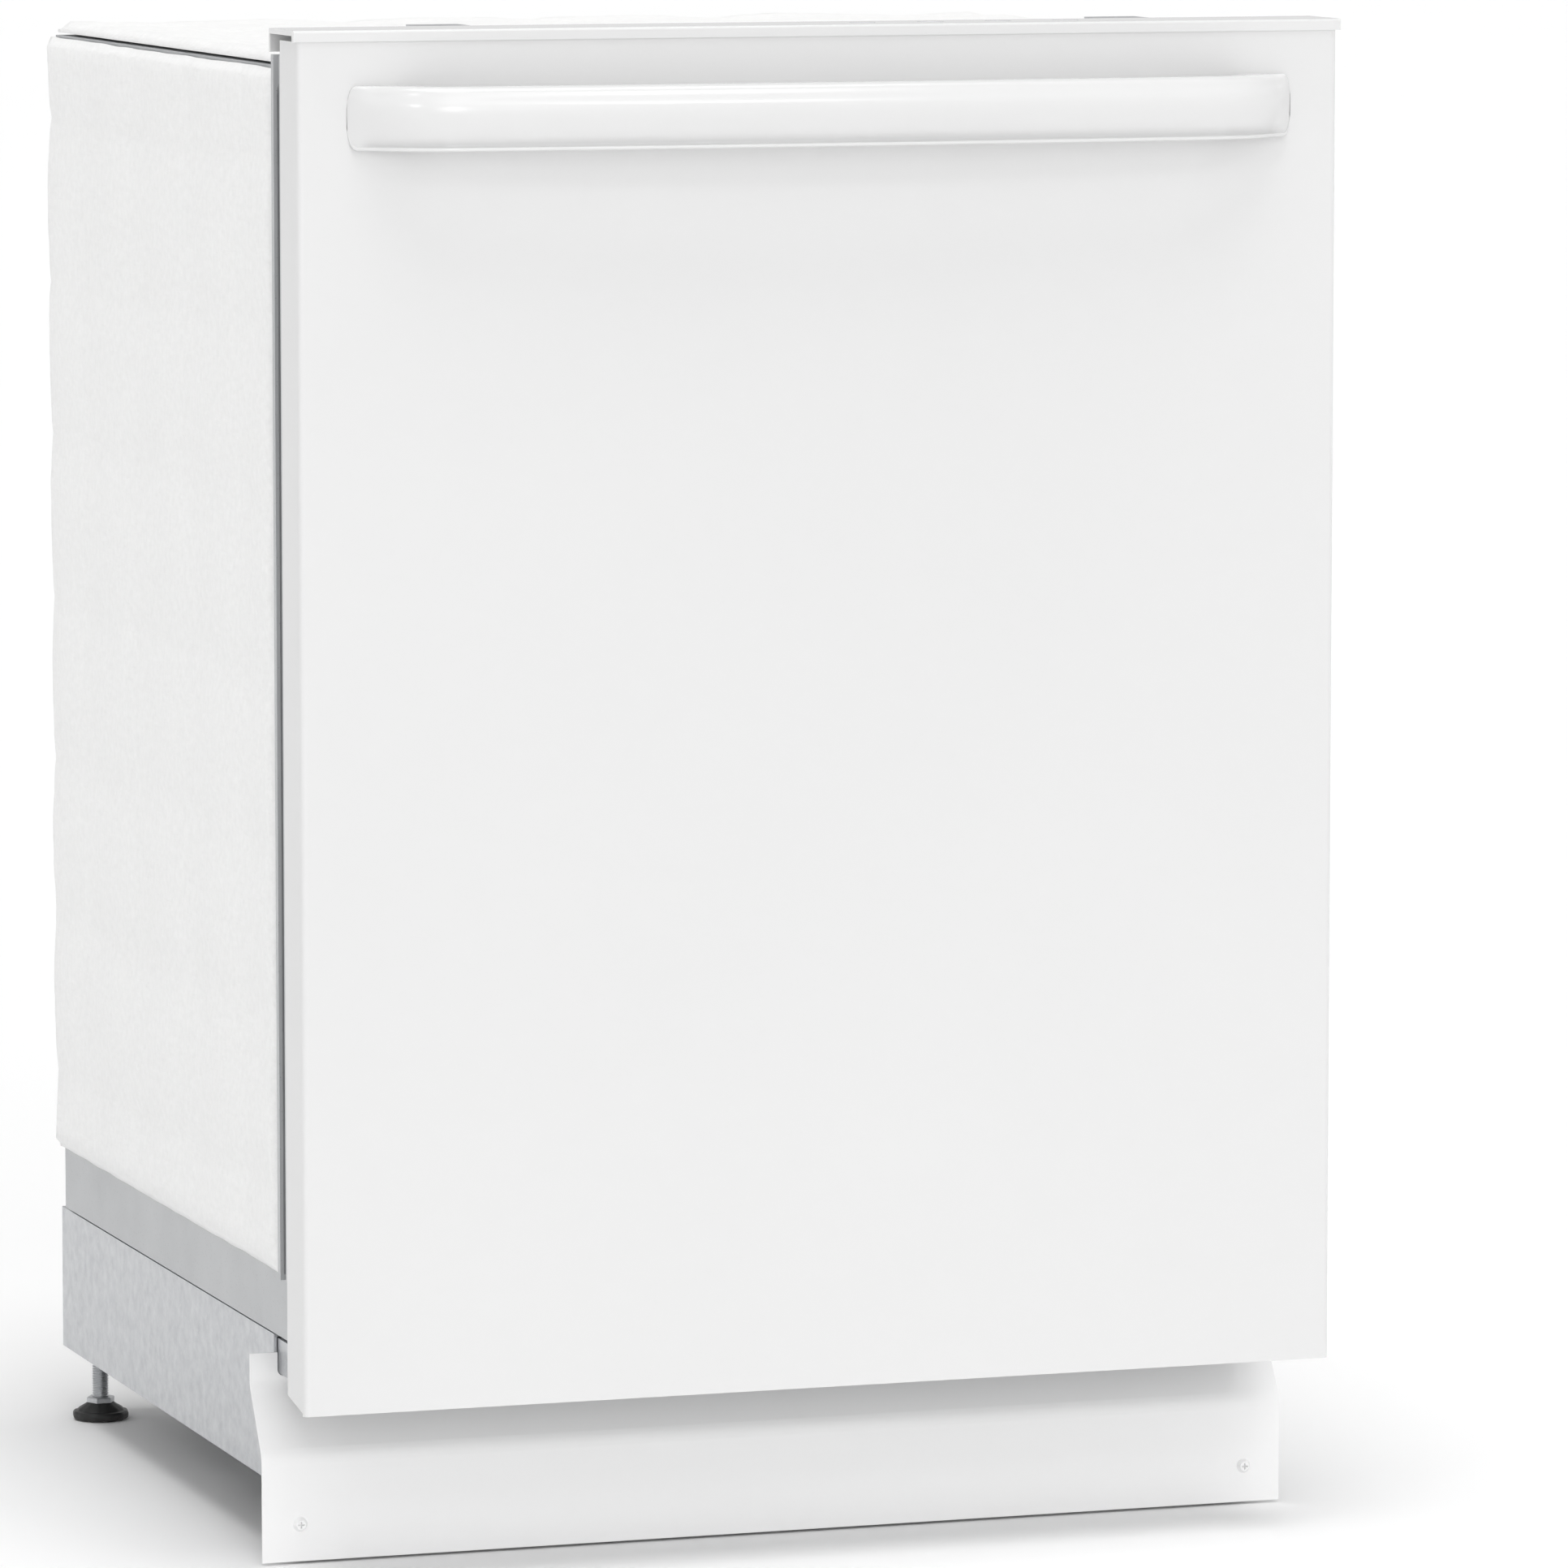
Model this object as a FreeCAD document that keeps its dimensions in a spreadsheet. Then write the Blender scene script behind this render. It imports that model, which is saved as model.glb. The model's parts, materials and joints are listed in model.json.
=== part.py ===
import FreeCAD, Part
import math
import os
import Sketcher

# Built-in dishwasher, 24 inch class, millimetres. +Z up, the door faces -Y, +X to the right.
# The origin is the middle of the floor rectangle that the machine stands on.

V = FreeCAD.Vector
doc = FreeCAD.newDocument("dishwasher")
sheet = doc.addObject("Spreadsheet::Sheet", "Dims")

TABLE = [
    ("total_w", 610.0, "width over the control cap and the toe panel"),
    ("half_depth", 317.5, "half of the depth from handle to rear rail"),
    ("total_z", 860.0, "height with the legs screwed in"),
    ("door_w", 606.0, "outer door panel width"),
    ("door_front", -275.5, "front face of the outer door panel"),
    ("door_low", 97.8, "lower edge of the outer door panel"),
    ("door_top", 853.7, "upper edge of the outer door panel, under the cap"),
    ("flange_deep", 34.0, "depth of the outer panel's side flanges"),
    ("sheet_t", 1.2, "sheet steel of the door"),
    ("corner_r", 3.0, "bend radius of the door's vertical edges"),
    ("cap_front", -276.5, "front face of the control cap"),
    ("cap_back", -226.5, "rear edge of the control cap"),
    ("cap_t", 3.0, "thickness of the cap's top"),
    ("liner_face", -228.0, "inner face of the door liner"),
    ("liner_back", -241.3, "front edge of the liner's rim"),
    ("liner_t", 2.0, "liner wall"),
    ("liner_top", 846.0, "upper edge of the liner"),
    ("pivot_y", -240.0, "door hinge axis"),
    ("pivot_z", 116.0, "door hinge axis"),
    ("pin_r", 4.0, "hinge pin radius"),
    ("pin_gap", 0.06, "running clearance around a pin"),
    ("arm_x", 280.6, "inner face of the hinge arm"),
    ("arm_t", 3.2, "hinge arm thickness"),
    ("bracket_x", 284.4, "inner face of the hinge bracket"),
    ("bracket_t", 3.4, "hinge bracket thickness"),
    ("tub_half", 292.0, "half width of the tub outside"),
    ("tub_front", -212.0, "front of the tub walls"),
    ("tub_back", 300.0, "rear of the tub outside"),
    ("tub_floor", 128.0, "underside of the tub floor"),
    ("tub_top", 838.0, "top of the tub outside"),
    ("tub_t", 4.0, "tub wall"),
    ("flange_out", 300.0, "outer edge of the tub's front flange"),
    ("toe_front", -194.0, "front plane of the toe panel"),
    ("toe_flat", 61.0, "top of the toe panel's flat part"),
    ("toe_back", -170.0, "front plane of the toe panel's upper flange"),
    ("toe_bend", 98.0, "lower edge of the upper flange"),
    ("toe_top", 116.0, "upper edge of the upper flange"),
    ("toe_t", 1.2, "toe panel sheet"),
    ("rail_in", 262.0, "inner edge of a base rail"),
    ("rail_out", 290.0, "outer face of a base rail"),
    ("rail_low", 40.0, "underside of the base rails"),
    ("rail_high", 126.0, "top of the base rails"),
    ("rail_front", -166.0, "front end of the base rails"),
    ("leg_x", 275.0, "leg position"),
    ("leg_front", -147.0, "front leg position"),
    ("leg_rear", 285.0, "rear leg position"),
    ("foot_r", 17.0, "foot radius"),
    ("stud_r", 5.0, "leg screw radius"),
    ("handle_half", 275.0, "half length of the handle"),
    ("handle_high", 829.7, "top of the handle"),
    ("handle_tall", 35.0, "height of the handle's section"),
    ("handle_t", 14.0, "thickness of the handle's bar"),
    ("hub_y", 40.0, "centre of the lower and top spray arms"),
    ("arm_r", 232.0, "half length of the lower spray arm"),
    ("arm_low", 162.0, "underside of the lower spray arm"),
    ("rod_r", 2.0, "rack wire radius with its coating"),
    ("tine_r", 1.6, "tine radius with its coating"),
    ("lower_low", 199.0, "lowest wires of the lower rack"),
    ("lower_high", 334.0, "rim of the lower rack"),
    ("lower_half", 260.0, "half width of the lower rack"),
    ("rack_front", -198.0, "front wires of both racks"),
    ("lower_rear", 248.0, "rear wires of the lower rack"),
    ("wheel_r", 17.0, "lower rack wheel radius"),
    ("wheel_z", 153.4, "lower rack wheel centre"),
    ("wheel_front", -20.0, "front wheels"),
    ("wheel_rear", 170.0, "rear wheels"),
    ("upper_low", 498.0, "lowest wires of the upper rack"),
    ("upper_high", 624.0, "rim of the upper rack"),
    ("upper_half", 254.0, "half width of the upper rack"),
    ("upper_rear", 238.0, "rear wires of the upper rack"),
    ("slide_z", 600.0, "underside of the rack slides"),
    ("upper_arm_r", 205.0, "half length of the upper spray arm"),
    ("upper_hub_y", 30.0, "centre of the upper spray arm"),
    ("top_arm_r", 140.0, "half length of the top spray arm"),
    ("button_r", 7.0, "push button radius"),
    ("button_y", -250.0, "row of push buttons"),
]


class Q:
    """A length that knows its value and its expression in the sheet's cells."""

    def __init__(self, v, t):
        self.v, self.t = float(v), t

    def __add__(self, o): o = q(o); return Q(self.v + o.v, "(%s + %s)" % (self.t, o.t))
    def __sub__(self, o): o = q(o); return Q(self.v - o.v, "(%s - %s)" % (self.t, o.t))
    def __mul__(self, o): o = q(o); return Q(self.v * o.v, "(%s * %s)" % (self.t, o.t))
    def __truediv__(self, o): o = q(o); return Q(self.v / o.v, "(%s / %s)" % (self.t, o.t))
    def __radd__(self, o): return q(o) + self
    def __rsub__(self, o): return q(o) - self
    def __rmul__(self, o): return q(o) * self
    def __neg__(self): return Q(-self.v, "(0 - %s)" % self.t)


def q(x):
    return x if isinstance(x, Q) else Q(x, "%.6f" % x if x >= 0 else "(0 - %.6f)" % -x)


class Cells:
    pass


D = Cells()
for i, (alias, value, note) in enumerate(TABLE, start=1):
    sheet.set("A%d" % i, alias)
    sheet.set("B%d" % i, str(value))
    sheet.set("C%d" % i, note)
    sheet.setAlias("B%d" % i, alias)
    setattr(D, alias, Q(value, "Dims.%s" % alias))
doc.recompute()

NODES = []          # the sub-parts that are written out
used = set()


def name_of(label):
    n, i = label, 1
    while n in used:
        i += 1
        n = "%s_%d" % (label, i)
    used.add(n)
    return n


def add(kind, label):
    n = name_of(label)
    o = doc.addObject(kind, n)
    o.Label = n
    return o


def bind(o, prop, value):
    o.setExpression(prop, q(value).t)


def put(o, x, y, z):
    for k, value in zip("xyz", (x, y, z)):
        bind(o, "Placement.Base." + k, value)


def box(label, x0, x1, y0, y1, z0, z1):
    o = add("Part::Box", label)
    x0, x1, y0, y1, z0, z1 = (q(i) for i in (x0, x1, y0, y1, z0, z1))
    bind(o, "Length", x1 - x0)
    bind(o, "Width", y1 - y0)
    bind(o, "Height", z1 - z0)
    put(o, x0, y0, z0)
    return o


TURN = {"x": FreeCAD.Rotation(V(0, 1, 0), 90), "y": FreeCAD.Rotation(V(1, 0, 0), -90), "z": FreeCAD.Rotation()}


def cyl(label, x, y, z, r, length, axis="z", r2=None):
    """A cylinder, or a cone when r2 is given, from its start point along +axis."""
    o = add("Part::Cylinder" if r2 is None else "Part::Cone", label)
    o.Placement = FreeCAD.Placement(V(0, 0, 0), TURN[axis])
    if r2 is None:
        bind(o, "Radius", r)
    else:
        bind(o, "Radius1", r)
        bind(o, "Radius2", r2)
    bind(o, "Height", length)
    put(o, x, y, z)
    return o


def cut(label, base, tools):
    tool = tools
    if isinstance(tools, (list, tuple)):
        tool = tools[0] if len(tools) == 1 else fuse(label + "_tool", tools)
    o = add("Part::Cut", label)
    o.Base, o.Tool = base, tool
    return o


def fuse(label, shapes):
    o = add("Part::MultiFuse", label)
    o.Shapes = list(shapes)
    o.Refine = True
    return o


def group(label, shapes):
    o = add("Part::Compound", label)
    o.Links = list(shapes)
    return o


def mirror(label, source):
    o = add("Part::Mirroring", label)
    o.Source = source
    o.Base = V(0, 0, 0)
    o.Normal = V(1, 0, 0)
    return o


def pair(label, source):
    """The right-hand piece and its mirror image, as one node of separate solids."""
    return group(label, [source, mirror(source.Label + "_left", source)])


def fillet(label, base, radius, pick):
    doc.recompute()
    edges = [i for i, e in enumerate(base.Shape.Edges, 1) if pick(e)]
    assert edges, label
    o = add("Part::Fillet", label)
    o.Base = base
    o.Edges = [(i, radius, radius) for i in edges]
    return o


def origin_plane(b, role):
    return [f for f in b.Origin.OriginFeatures if f.Role == role][0]


def outline(sk, loops):
    """Loops of points or circles; every vertex is bound to the sheet."""
    for loop in loops:
        if loop[0] == "circle":
            _, cx, cy, r = loop
            cx, cy, r = q(cx), q(cy), q(r)
            g = sk.addGeometry(Part.Circle(V(cx.v, cy.v, 0), V(0, 0, 1), r.v))
            for kind, value in (("DistanceX", cx), ("DistanceY", cy)):
                k = sk.addConstraint(Sketcher.Constraint(kind, g, 3, value.v))
                sk.setExpression("Constraints[%d]" % k, value.t)
            k = sk.addConstraint(Sketcher.Constraint("Radius", g, r.v))
            sk.setExpression("Constraints[%d]" % k, r.t)
            continue
        pts = [(q(a), q(b)) for a, b in loop]
        n = len(pts)
        ids = [
            sk.addGeometry(Part.LineSegment(V(pts[i][0].v, pts[i][1].v, 0), V(pts[(i + 1) % n][0].v, pts[(i + 1) % n][1].v, 0)))
            for i in range(n)
        ]
        for i in range(n):
            sk.addConstraint(Sketcher.Constraint("Coincident", ids[i], 2, ids[(i + 1) % n], 1))
        for i in range(n):
            for kind, value in (("DistanceX", pts[i][0]), ("DistanceY", pts[i][1])):
                k = sk.addConstraint(Sketcher.Constraint(kind, ids[i], 1, value.v))
                sk.setExpression("Constraints[%d]" % k, value.t)


def sketch(b, plane, loops, at):
    sk = b.newObject("Sketcher::SketchObject", name_of(b.Label + "_sketch"))
    sk.AttachmentSupport = [(origin_plane(b, plane + "_Plane"), "")]
    sk.MapMode = "FlatFace"
    bind(sk, "AttachmentOffset.Base.z", at)
    outline(sk, loops)
    return sk


def prism(label, plane, loops, low, high):
    """A body padded from a sketch, between two coordinates on the axis normal to its plane."""
    low, high = q(low), q(high)
    b = add("PartDesign::Body", label)
    sk = sketch(b, plane, loops, -high if plane == "XZ" else low)
    pad = b.newObject("PartDesign::Pad", name_of(label + "_pad"))
    pad.Profile = sk
    bind(pad, "Length", high - low)
    return b


def pocket(b, plane, loops):
    """Cuts loops right through the body, both ways from the plane."""
    sk = sketch(b, plane, loops, 0)
    p = b.newObject("PartDesign::Pocket", name_of(b.Label + "_pocket"))
    p.Profile = sk
    p.SideType = "Symmetric"
    p.Type = "Length"
    p.Length = 3000
    return p


def dress(b, radius, pick):
    """A fillet on the body's own edges."""
    doc.recompute()
    tip = b.Tip
    names = ["Edge%d" % i for i, e in enumerate(tip.Shape.Edges, 1) if pick(e)]
    assert names, b.Label
    f = b.newObject("PartDesign::Fillet", name_of(b.Label + "_fillet"))
    f.Base = (tip, names)
    f.Radius = radius
    b.Tip = f
    return f


def along(e, axis):
    """True for a straight edge along one axis."""
    if len(e.Vertexes) < 2 or e.Curve.TypeId != "Part::GeomLine":
        return False
    a, b = e.Vertexes[0].Point, e.Vertexes[1].Point
    dd = (abs(a.x - b.x), abs(a.y - b.y), abs(a.z - b.z))
    k = "xyz".index(axis)
    return dd[k] > 1e-3 and all(dd[j] < 1e-6 for j in range(3) if j != k)


def mid(e):
    return e.BoundBox.Center


def node(o, label=None):
    if label:
        o.Label = label
    NODES.append(o)
    return o


def rods(label, items):
    """Straight wires as separate solids: (start, end, radius), with sizes read from the sheet by the caller."""
    shapes = []
    for a, b, r in items:
        a, b = V(*a), V(*b)
        shapes.append(Part.makeCylinder(r, (b - a).Length, a, b - a))
    return shapes


def feature(label, shapes):
    o = add("Part::Feature", label)
    o.Shape = Part.makeCompound(shapes) if len(shapes) > 1 else shapes[0]
    return o


# ---------------------------------------------------------------- tub and its front flange
shell = box("tub_outside", -D.tub_half, D.tub_half, D.tub_front, D.tub_back, D.tub_floor, D.tub_top)
hollow = box("tub_inside", -D.tub_half + D.tub_t, D.tub_half - D.tub_t, D.tub_front - 1, D.tub_back - D.tub_t, D.tub_floor + D.tub_t, D.tub_top - D.tub_t)
well = box("sump_well", -87, 122, -67, 77, D.tub_floor - 1, D.tub_floor + D.tub_t + 1)
tub_box = cut("tub_box", shell, [hollow, well])
side_flange = box("tub_flange_right", D.tub_half - D.tub_t, D.flange_out, D.tub_front - 5, D.tub_front, 165, 845)
side_flange_left = box("tub_flange_left", -D.flange_out, -D.tub_half + D.tub_t, D.tub_front - 5, D.tub_front, 165, 845)
top_flange = box("tub_flange_top", -D.tub_half + D.tub_t, D.tub_half - D.tub_t, D.tub_front - 5, D.tub_front, D.tub_top - D.tub_t, 845)
lip = box("tub_lip", -270, 270, D.tub_front, D.tub_front + 4, 108, D.tub_floor)
track_right = box("tub_track_right", 240, 260, D.tub_front, 280, D.tub_floor + D.tub_t, 136)
track_left = box("tub_track_left", -260, -240, D.tub_front, 280, D.tub_floor + D.tub_t, 136)
post = cyl("float_post", -200, -130, D.tub_floor + D.tub_t, 6, 18)
spout = cyl("water_inlet_spout", -251, 236, D.tub_floor + D.tub_t, 9, 22)
tub = node(fuse("tub", [tub_box, side_flange, side_flange_left, top_flange, lip, track_right, track_left, post, spout]))

# door gasket: a soft strip on each side of the opening and one over the top
node(group("tub_gasket", [
    box("gasket_right", D.tub_half - 2, D.flange_out - 2, -227.4, D.tub_front - 5.2, 168, 834),
    box("gasket_left", -D.flange_out + 2, -D.tub_half + 2, -227.4, D.tub_front - 5.2, 168, 834),
    box("gasket_top", -D.flange_out + 2, D.flange_out - 2, -227.4, D.tub_front - 5.2, 834.2, 843),
]))

# sound blanket over the sides, top and back
node(group("insulation_blanket", [
    box("blanket_right", D.tub_half + 0.4, 300.6, -204, 299.6, 165, 838),
    box("blanket_left", -300.6, -D.tub_half - 0.4, -204, 299.6, 165, 838),
    box("blanket_top", -D.tub_half, D.tub_half, -178, 299.6, D.tub_top + 0.4, 847),
    box("blanket_back", -D.tub_half, D.tub_half, D.tub_back + 0.4, 309, 150, 836),
]))

# ---------------------------------------------------------------- base frame
t = 2.0
c_rail = prism("base_rail_right", "XZ", [[
    (D.rail_in, D.rail_low), (D.rail_out, D.rail_low), (D.rail_out, D.rail_high), (D.rail_in, D.rail_high),
    (D.rail_in, D.rail_high - t), (D.rail_out - t, D.rail_high - t), (D.rail_out - t, D.rail_low + t), (D.rail_in, D.rail_low + t),
]], D.rail_front, D.half_depth)
front_tab = box("toe_tab", 268, D.rail_out, D.toe_front + D.toe_t + 0.1, D.toe_front + D.toe_t + 2.1, 8, 50)
tab_web = box("toe_tab_web", D.rail_out - t, D.rail_out, D.toe_front + D.toe_t + 2.1, D.rail_front + 20, 8, 50)
rail_solid = fuse("base_rail_with_tab", [c_rail, front_tab, tab_web])
rail = cut("base_rail_drilled", rail_solid, [
    cyl("rail_hole_front", D.leg_x, D.leg_front, D.rail_low - 1, D.stud_r + 0.05, 4),
    cyl("rail_hole_rear", D.leg_x, D.leg_rear, D.rail_low - 1, D.stud_r + 0.05, 4),
    cyl("rail_screw_hole", 283, D.toe_front, 22, 2.0, 8, "y"),
])
front_cross = box("base_cross_front", -D.rail_in + 0.2, D.rail_in - 0.2, -164, -144, 100, D.rail_high)
rear_cross = box("base_cross_rear", -D.rail_in + 0.2, D.rail_in - 0.2, 296, D.half_depth, 70, D.rail_high)
node(group("base_frame", [rail, mirror("base_rail_left", rail), front_cross, rear_cross]))

# toe panel: flat face, slope towards the back, upper flange with a rounded notch near each end
toe = prism("toe_kick", "YZ", [[
    (D.toe_front, 1.0), (D.toe_front + D.toe_t, 1.0), (D.toe_front + D.toe_t, D.toe_flat - 0.3),
    (D.toe_back + D.toe_t, D.toe_bend - 0.3), (D.toe_back + D.toe_t, D.toe_top), (D.toe_back, D.toe_top),
    (D.toe_back, D.toe_bend), (D.toe_front, D.toe_flat),
]], -D.total_w / 2, D.total_w / 2)
dress(toe, 16.0, lambda e: along(e, "x") and abs(mid(e).z - 61) < 0.01 and abs(mid(e).y + 194) < 0.01)
dress(toe, 14.8, lambda e: along(e, "x") and abs(mid(e).z - 60.7) < 0.01 and abs(mid(e).y + 192.8) < 0.01)
dress(toe, 9.0, lambda e: along(e, "x") and abs(mid(e).z - 98) < 0.01 and abs(mid(e).y + 170) < 0.01)
dress(toe, 10.2, lambda e: along(e, "x") and abs(mid(e).z - 97.7) < 0.01 and abs(mid(e).y + 168.8) < 0.01)
for sgn in (1, -1):
    n0, n1 = 276.0, 289.0
    pts = [(sgn * n0, 120), (sgn * n0, 106)]
    for k in range(1, 6):
        a = math.radians(90 * k / 6)
        pts.append((sgn * (n0 + 3.6 * (1 - math.cos(a))), 106 - 3.4 * math.sin(a)))
    pts += [(sgn * (n0 + 3.6), 102.6), (sgn * (n1 - 3.6), 102.6)]
    for k in range(1, 6):
        a = math.radians(90 * k / 6)
        pts.append((sgn * (n1 - 3.6 + 3.6 * math.sin(a)), 106 - 3.4 * math.cos(a)))
    pts += [(sgn * n1, 106), (sgn * n1, 120)]
    pocket(toe, "XZ", [pts])
pocket(toe, "XZ", [("circle", 283, 22, 2.2), ("circle", -283, 22, 2.2)])
node(toe)

# toe panel screws: pan heads with a cross recess
screw = fuse("toe_screw_blank", [
    cyl("toe_screw_shank", 283, D.toe_front - 0.0, 22, 1.9, 9, "y"),
    cyl("toe_screw_head", 283, D.toe_front - 2.6, 22, 2.6, 2.6, "y", r2=4.1),
])
screw_cut = cut("toe_screw", screw, [
    box("toe_recess_a", 281.2, 284.8, D.toe_front - 3, D.toe_front - 1.2, 21.6, 22.4),
    box("toe_recess_b", 282.6, 283.4, D.toe_front - 3, D.toe_front - 1.2, 20.2, 23.8),
])
node(pair("toe_kick_screws", screw_cut))

# ---------------------------------------------------------------- hinges
hb = prism("hinge_bracket_right", "YZ", [[
    (-251, 104), (-150, 104), (-150, 123.6), (-218.6, 123.6), (-226, 134), (-251, 134),
]], D.bracket_x, D.bracket_x + D.bracket_t)
pocket(hb, "YZ", [("circle", D.pivot_y, D.pivot_z, D.pin_r)])
guide = cyl("cable_guide", D.arm_x - 0.6, -196, 113.2, 4, D.bracket_x - D.arm_x + 0.6, "x")
node(pair("hinge_brackets", fuse("hinge_bracket_with_guide", [hb, guide])))
node(pair("hinge_pins", cyl("hinge_pin_right", D.arm_x - 1.4, D.pivot_y, D.pivot_z, D.pin_r, D.bracket_t + D.bracket_x - D.arm_x + 1.4, "x")))

lever = []
for k in range(0, 13):
    a = math.radians(-18 - 72 + 15 * k)
    lever.append((D.pivot_y + 24.7 + 3.2 * math.cos(a), D.pivot_z - 8 + 3.2 * math.sin(a)))
ha = prism("hinge_arm_right", "YZ", [[
    (-272, 104), (D.pivot_y - 8, 103)] + lever[:1] + lever[2:-2] + [lever[-1], (D.pivot_y + 10, 127), (D.pivot_y - 2, 130),
    (-243, 140), (-243, 330), (-272, 330),
]], D.arm_x, D.arm_x + D.arm_t)
pocket(ha, "YZ", [("circle", D.pivot_y, D.pivot_z, D.pin_r + D.pin_gap), ("circle", D.pivot_y + 24.7, D.pivot_z - 8, 1.3)])
node(pair("hinge_arms", ha))

# counterbalance springs in the base rails, with a short steel cable to each hinge arm
node(pair("door_springs", cyl("door_spring_right", D.arm_x + D.arm_t / 2, -118, 108, 5.2, 190, "y")))
node(pair("spring_cables", cyl("spring_cable_right", D.arm_x + D.arm_t / 2, -211.6, 108, 0.9, 93.4, "y")))

# ---------------------------------------------------------------- door
panel = prism("door_outer_panel", "XY", [[
    (-D.door_w / 2, D.door_front), (D.door_w / 2, D.door_front), (D.door_w / 2, D.door_front + D.flange_deep),
    (D.door_w / 2 - D.sheet_t, D.door_front + D.flange_deep), (D.door_w / 2 - D.sheet_t, D.door_front + D.sheet_t),
    (-D.door_w / 2 + D.sheet_t, D.door_front + D.sheet_t), (-D.door_w / 2 + D.sheet_t, D.door_front + D.flange_deep),
    (-D.door_w / 2, D.door_front + D.flange_deep),
]], D.door_low, D.door_top)
dress(panel, 3.0, lambda e: along(e, "z") and abs(mid(e).y + 275.5) < 0.01)
dress(panel, 1.8, lambda e: along(e, "z") and abs(mid(e).y + 274.3) < 0.01)
pocket(panel, "YZ", [[
    (D.door_front + 3.2, D.door_low - 2), (D.door_front + 3.2, 99.4), (D.door_front + D.flange_deep + 2, 105.0), (D.door_front + D.flange_deep + 2, D.door_low - 2),
]])
hem_sk = sketch(panel, "XY", [[
    (-279, D.door_front + 0.6), (279, D.door_front + 0.6), (279, D.door_front + 31), (-279, D.door_front + 31),
]], D.door_low)
hem = panel.newObject("PartDesign::Pad", name_of("door_hem_pad"))
hem.Profile = hem_sk
bind(hem, "Length", D.sheet_t)
node(panel)

liner_body = prism("liner_blank", "XZ", [[
    (-279, 98.4), (279, 98.4), (279, 165), (300, 165), (300, D.liner_top), (-300, D.liner_top), (-300, 165), (-279, 165),
]], D.liner_back, D.liner_face)
liner_hollow = prism("liner_hollow", "XZ", [[
    (-277, 100.4), (277, 100.4), (277, 167), (298, 167), (298, D.liner_top - 2), (-298, D.liner_top - 2), (-298, 167), (-277, 167),
]], D.liner_back - 1, D.liner_face - D.liner_t)
door_track = box("door_track_right", 240, 260, D.liner_face, -220, 130, 470)
door_track_left = box("door_track_left", -260, -240, D.liner_face, -220, 130, 470)
liner_holed = cut("liner_holed", liner_body, [liner_hollow, box("dispenser_window", -105.2, 105.2, -245, -220, 399.8, 560.2)])
node(fuse("door_inner_liner", [liner_holed, door_track, door_track_left]))

node(box("door_insulation", -276, 276, -273.6, -243.2, 142, 770))
node(box("bottom_seal", -268, 268, D.liner_face + 0.1, -219, 104, 113))

# dispenser let into the liner: a detergent cup on the left, the rinse aid neck on the right
disp = cut("dispenser_body", fuse("dispenser_blank", [
    box("dispenser_case", -105, 105, -242.8, D.liner_face + 0.2, 400, 560),
    box("dispenser_face", -112, 112, D.liner_face + 0.2, -219.6, 393, 567),
]), [
    box("detergent_cup", -72, -14, -238, -218, 424, 536),
    cyl("rinse_neck", 78, -236, 480, 13, 20, "y"),
])
node(disp, "detergent_dispenser")
lid = prism("lid_plate", "XZ", [[(-78, 418), (-8, 418), (-8, 542), (-78, 542)]], -219.2, -216.6)
dress(lid, 6.0, lambda e: along(e, "y"))
lid_grip = box("lid_grip", -20, -15, -216.6, -214.2, 450, 510)
node(fuse("detergent_lid", [lid, lid_grip]))
node(fuse("rinse_aid_cap", [
    cyl("rinse_plug", 78, -234, 480, 12.6, 14.8, "y"),
    cyl("rinse_flange", 78, -219.2, 480, 17, 2.4, "y"),
    box("rinse_grip", 64, 92, -216.8, -212.2, 477.6, 482.4),
]))

# control cap along the top of the door, with its push buttons
cap = prism("control_cap_blank", "YZ", [[
    (D.cap_front, D.door_top), (D.cap_front, D.total_z), (D.cap_back, D.total_z), (D.cap_back, 847), (D.cap_back - 2.4, 847),
    (D.cap_back - 2.4, D.total_z - D.cap_t), (D.cap_front + 4, D.total_z - D.cap_t), (D.cap_front + 4, D.door_top),
]], -D.total_w / 2, D.total_w / 2)
dress(cap, 1.6, lambda e: along(e, "x") and mid(e).z > 859.9 and mid(e).y < -270)
dress(cap, 1.0, lambda e: along(e, "x") and mid(e).z > 859.9 and mid(e).y > -230)
BUTTONS = [("button_start", 150.0), ("button_cycle", 110.0), ("button_dry", 70.0), ("button_delay", 30.0)]
holes = [cyl("cap_hole_" + n[7:], x, D.button_y, D.total_z - 10, D.button_r + 0.35, 12) for n, x in BUTTONS]
node(cut("control_cap", cap, holes + [box("latch_slot", -16, 16, D.cap_back - 4, D.cap_back + 1, 846, 854.4)]))
for n, x in BUTTONS:
    cap_top = cyl(n + "_top", x, D.button_y, D.total_z - 4.2, D.button_r, 4.1)
    stem = cyl(n + "_stem", x, D.button_y, D.total_z - 9.0, 2.5, 5.0)
    node(fuse(n, [cap_top, stem]))
node(cut("control_board", box("board_case", -200, 200, -271, -246, 800, 847), [
    box("board_recess", -196, 196, -269, -248, 838, 848),
]))

# bowed handle: a flat-sided bar, arched in plan, that meets the door at both ends
H = D.handle_half.v
f0 = D.door_front.v
proj = D.half_depth.v + f0              # how far the bar stands out from the door
bar = add("PartDesign::Body", "door_handle")
hsk = bar.newObject("Sketcher::SketchObject", "door_handle_sketch")
hsk.AttachmentSupport = [(origin_plane(bar, "XY_Plane"), "")]
hsk.MapMode = "FlatFace"
bind(hsk, "AttachmentOffset.Base.z", D.handle_high - D.handle_tall)
th = D.handle_t.v
px, py = H - 46.0, f0 + proj * (-1) + 7.5       # shoulder of the bow
outer = [V(-H, f0, 0), V(-H + 16.5, f0 - 21.5, 0), V(-px, py, 0), V(0, f0 - proj, 0), V(px, py, 0), V(H - 16.5, f0 - 21.5, 0), V(H, f0, 0)]
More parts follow.
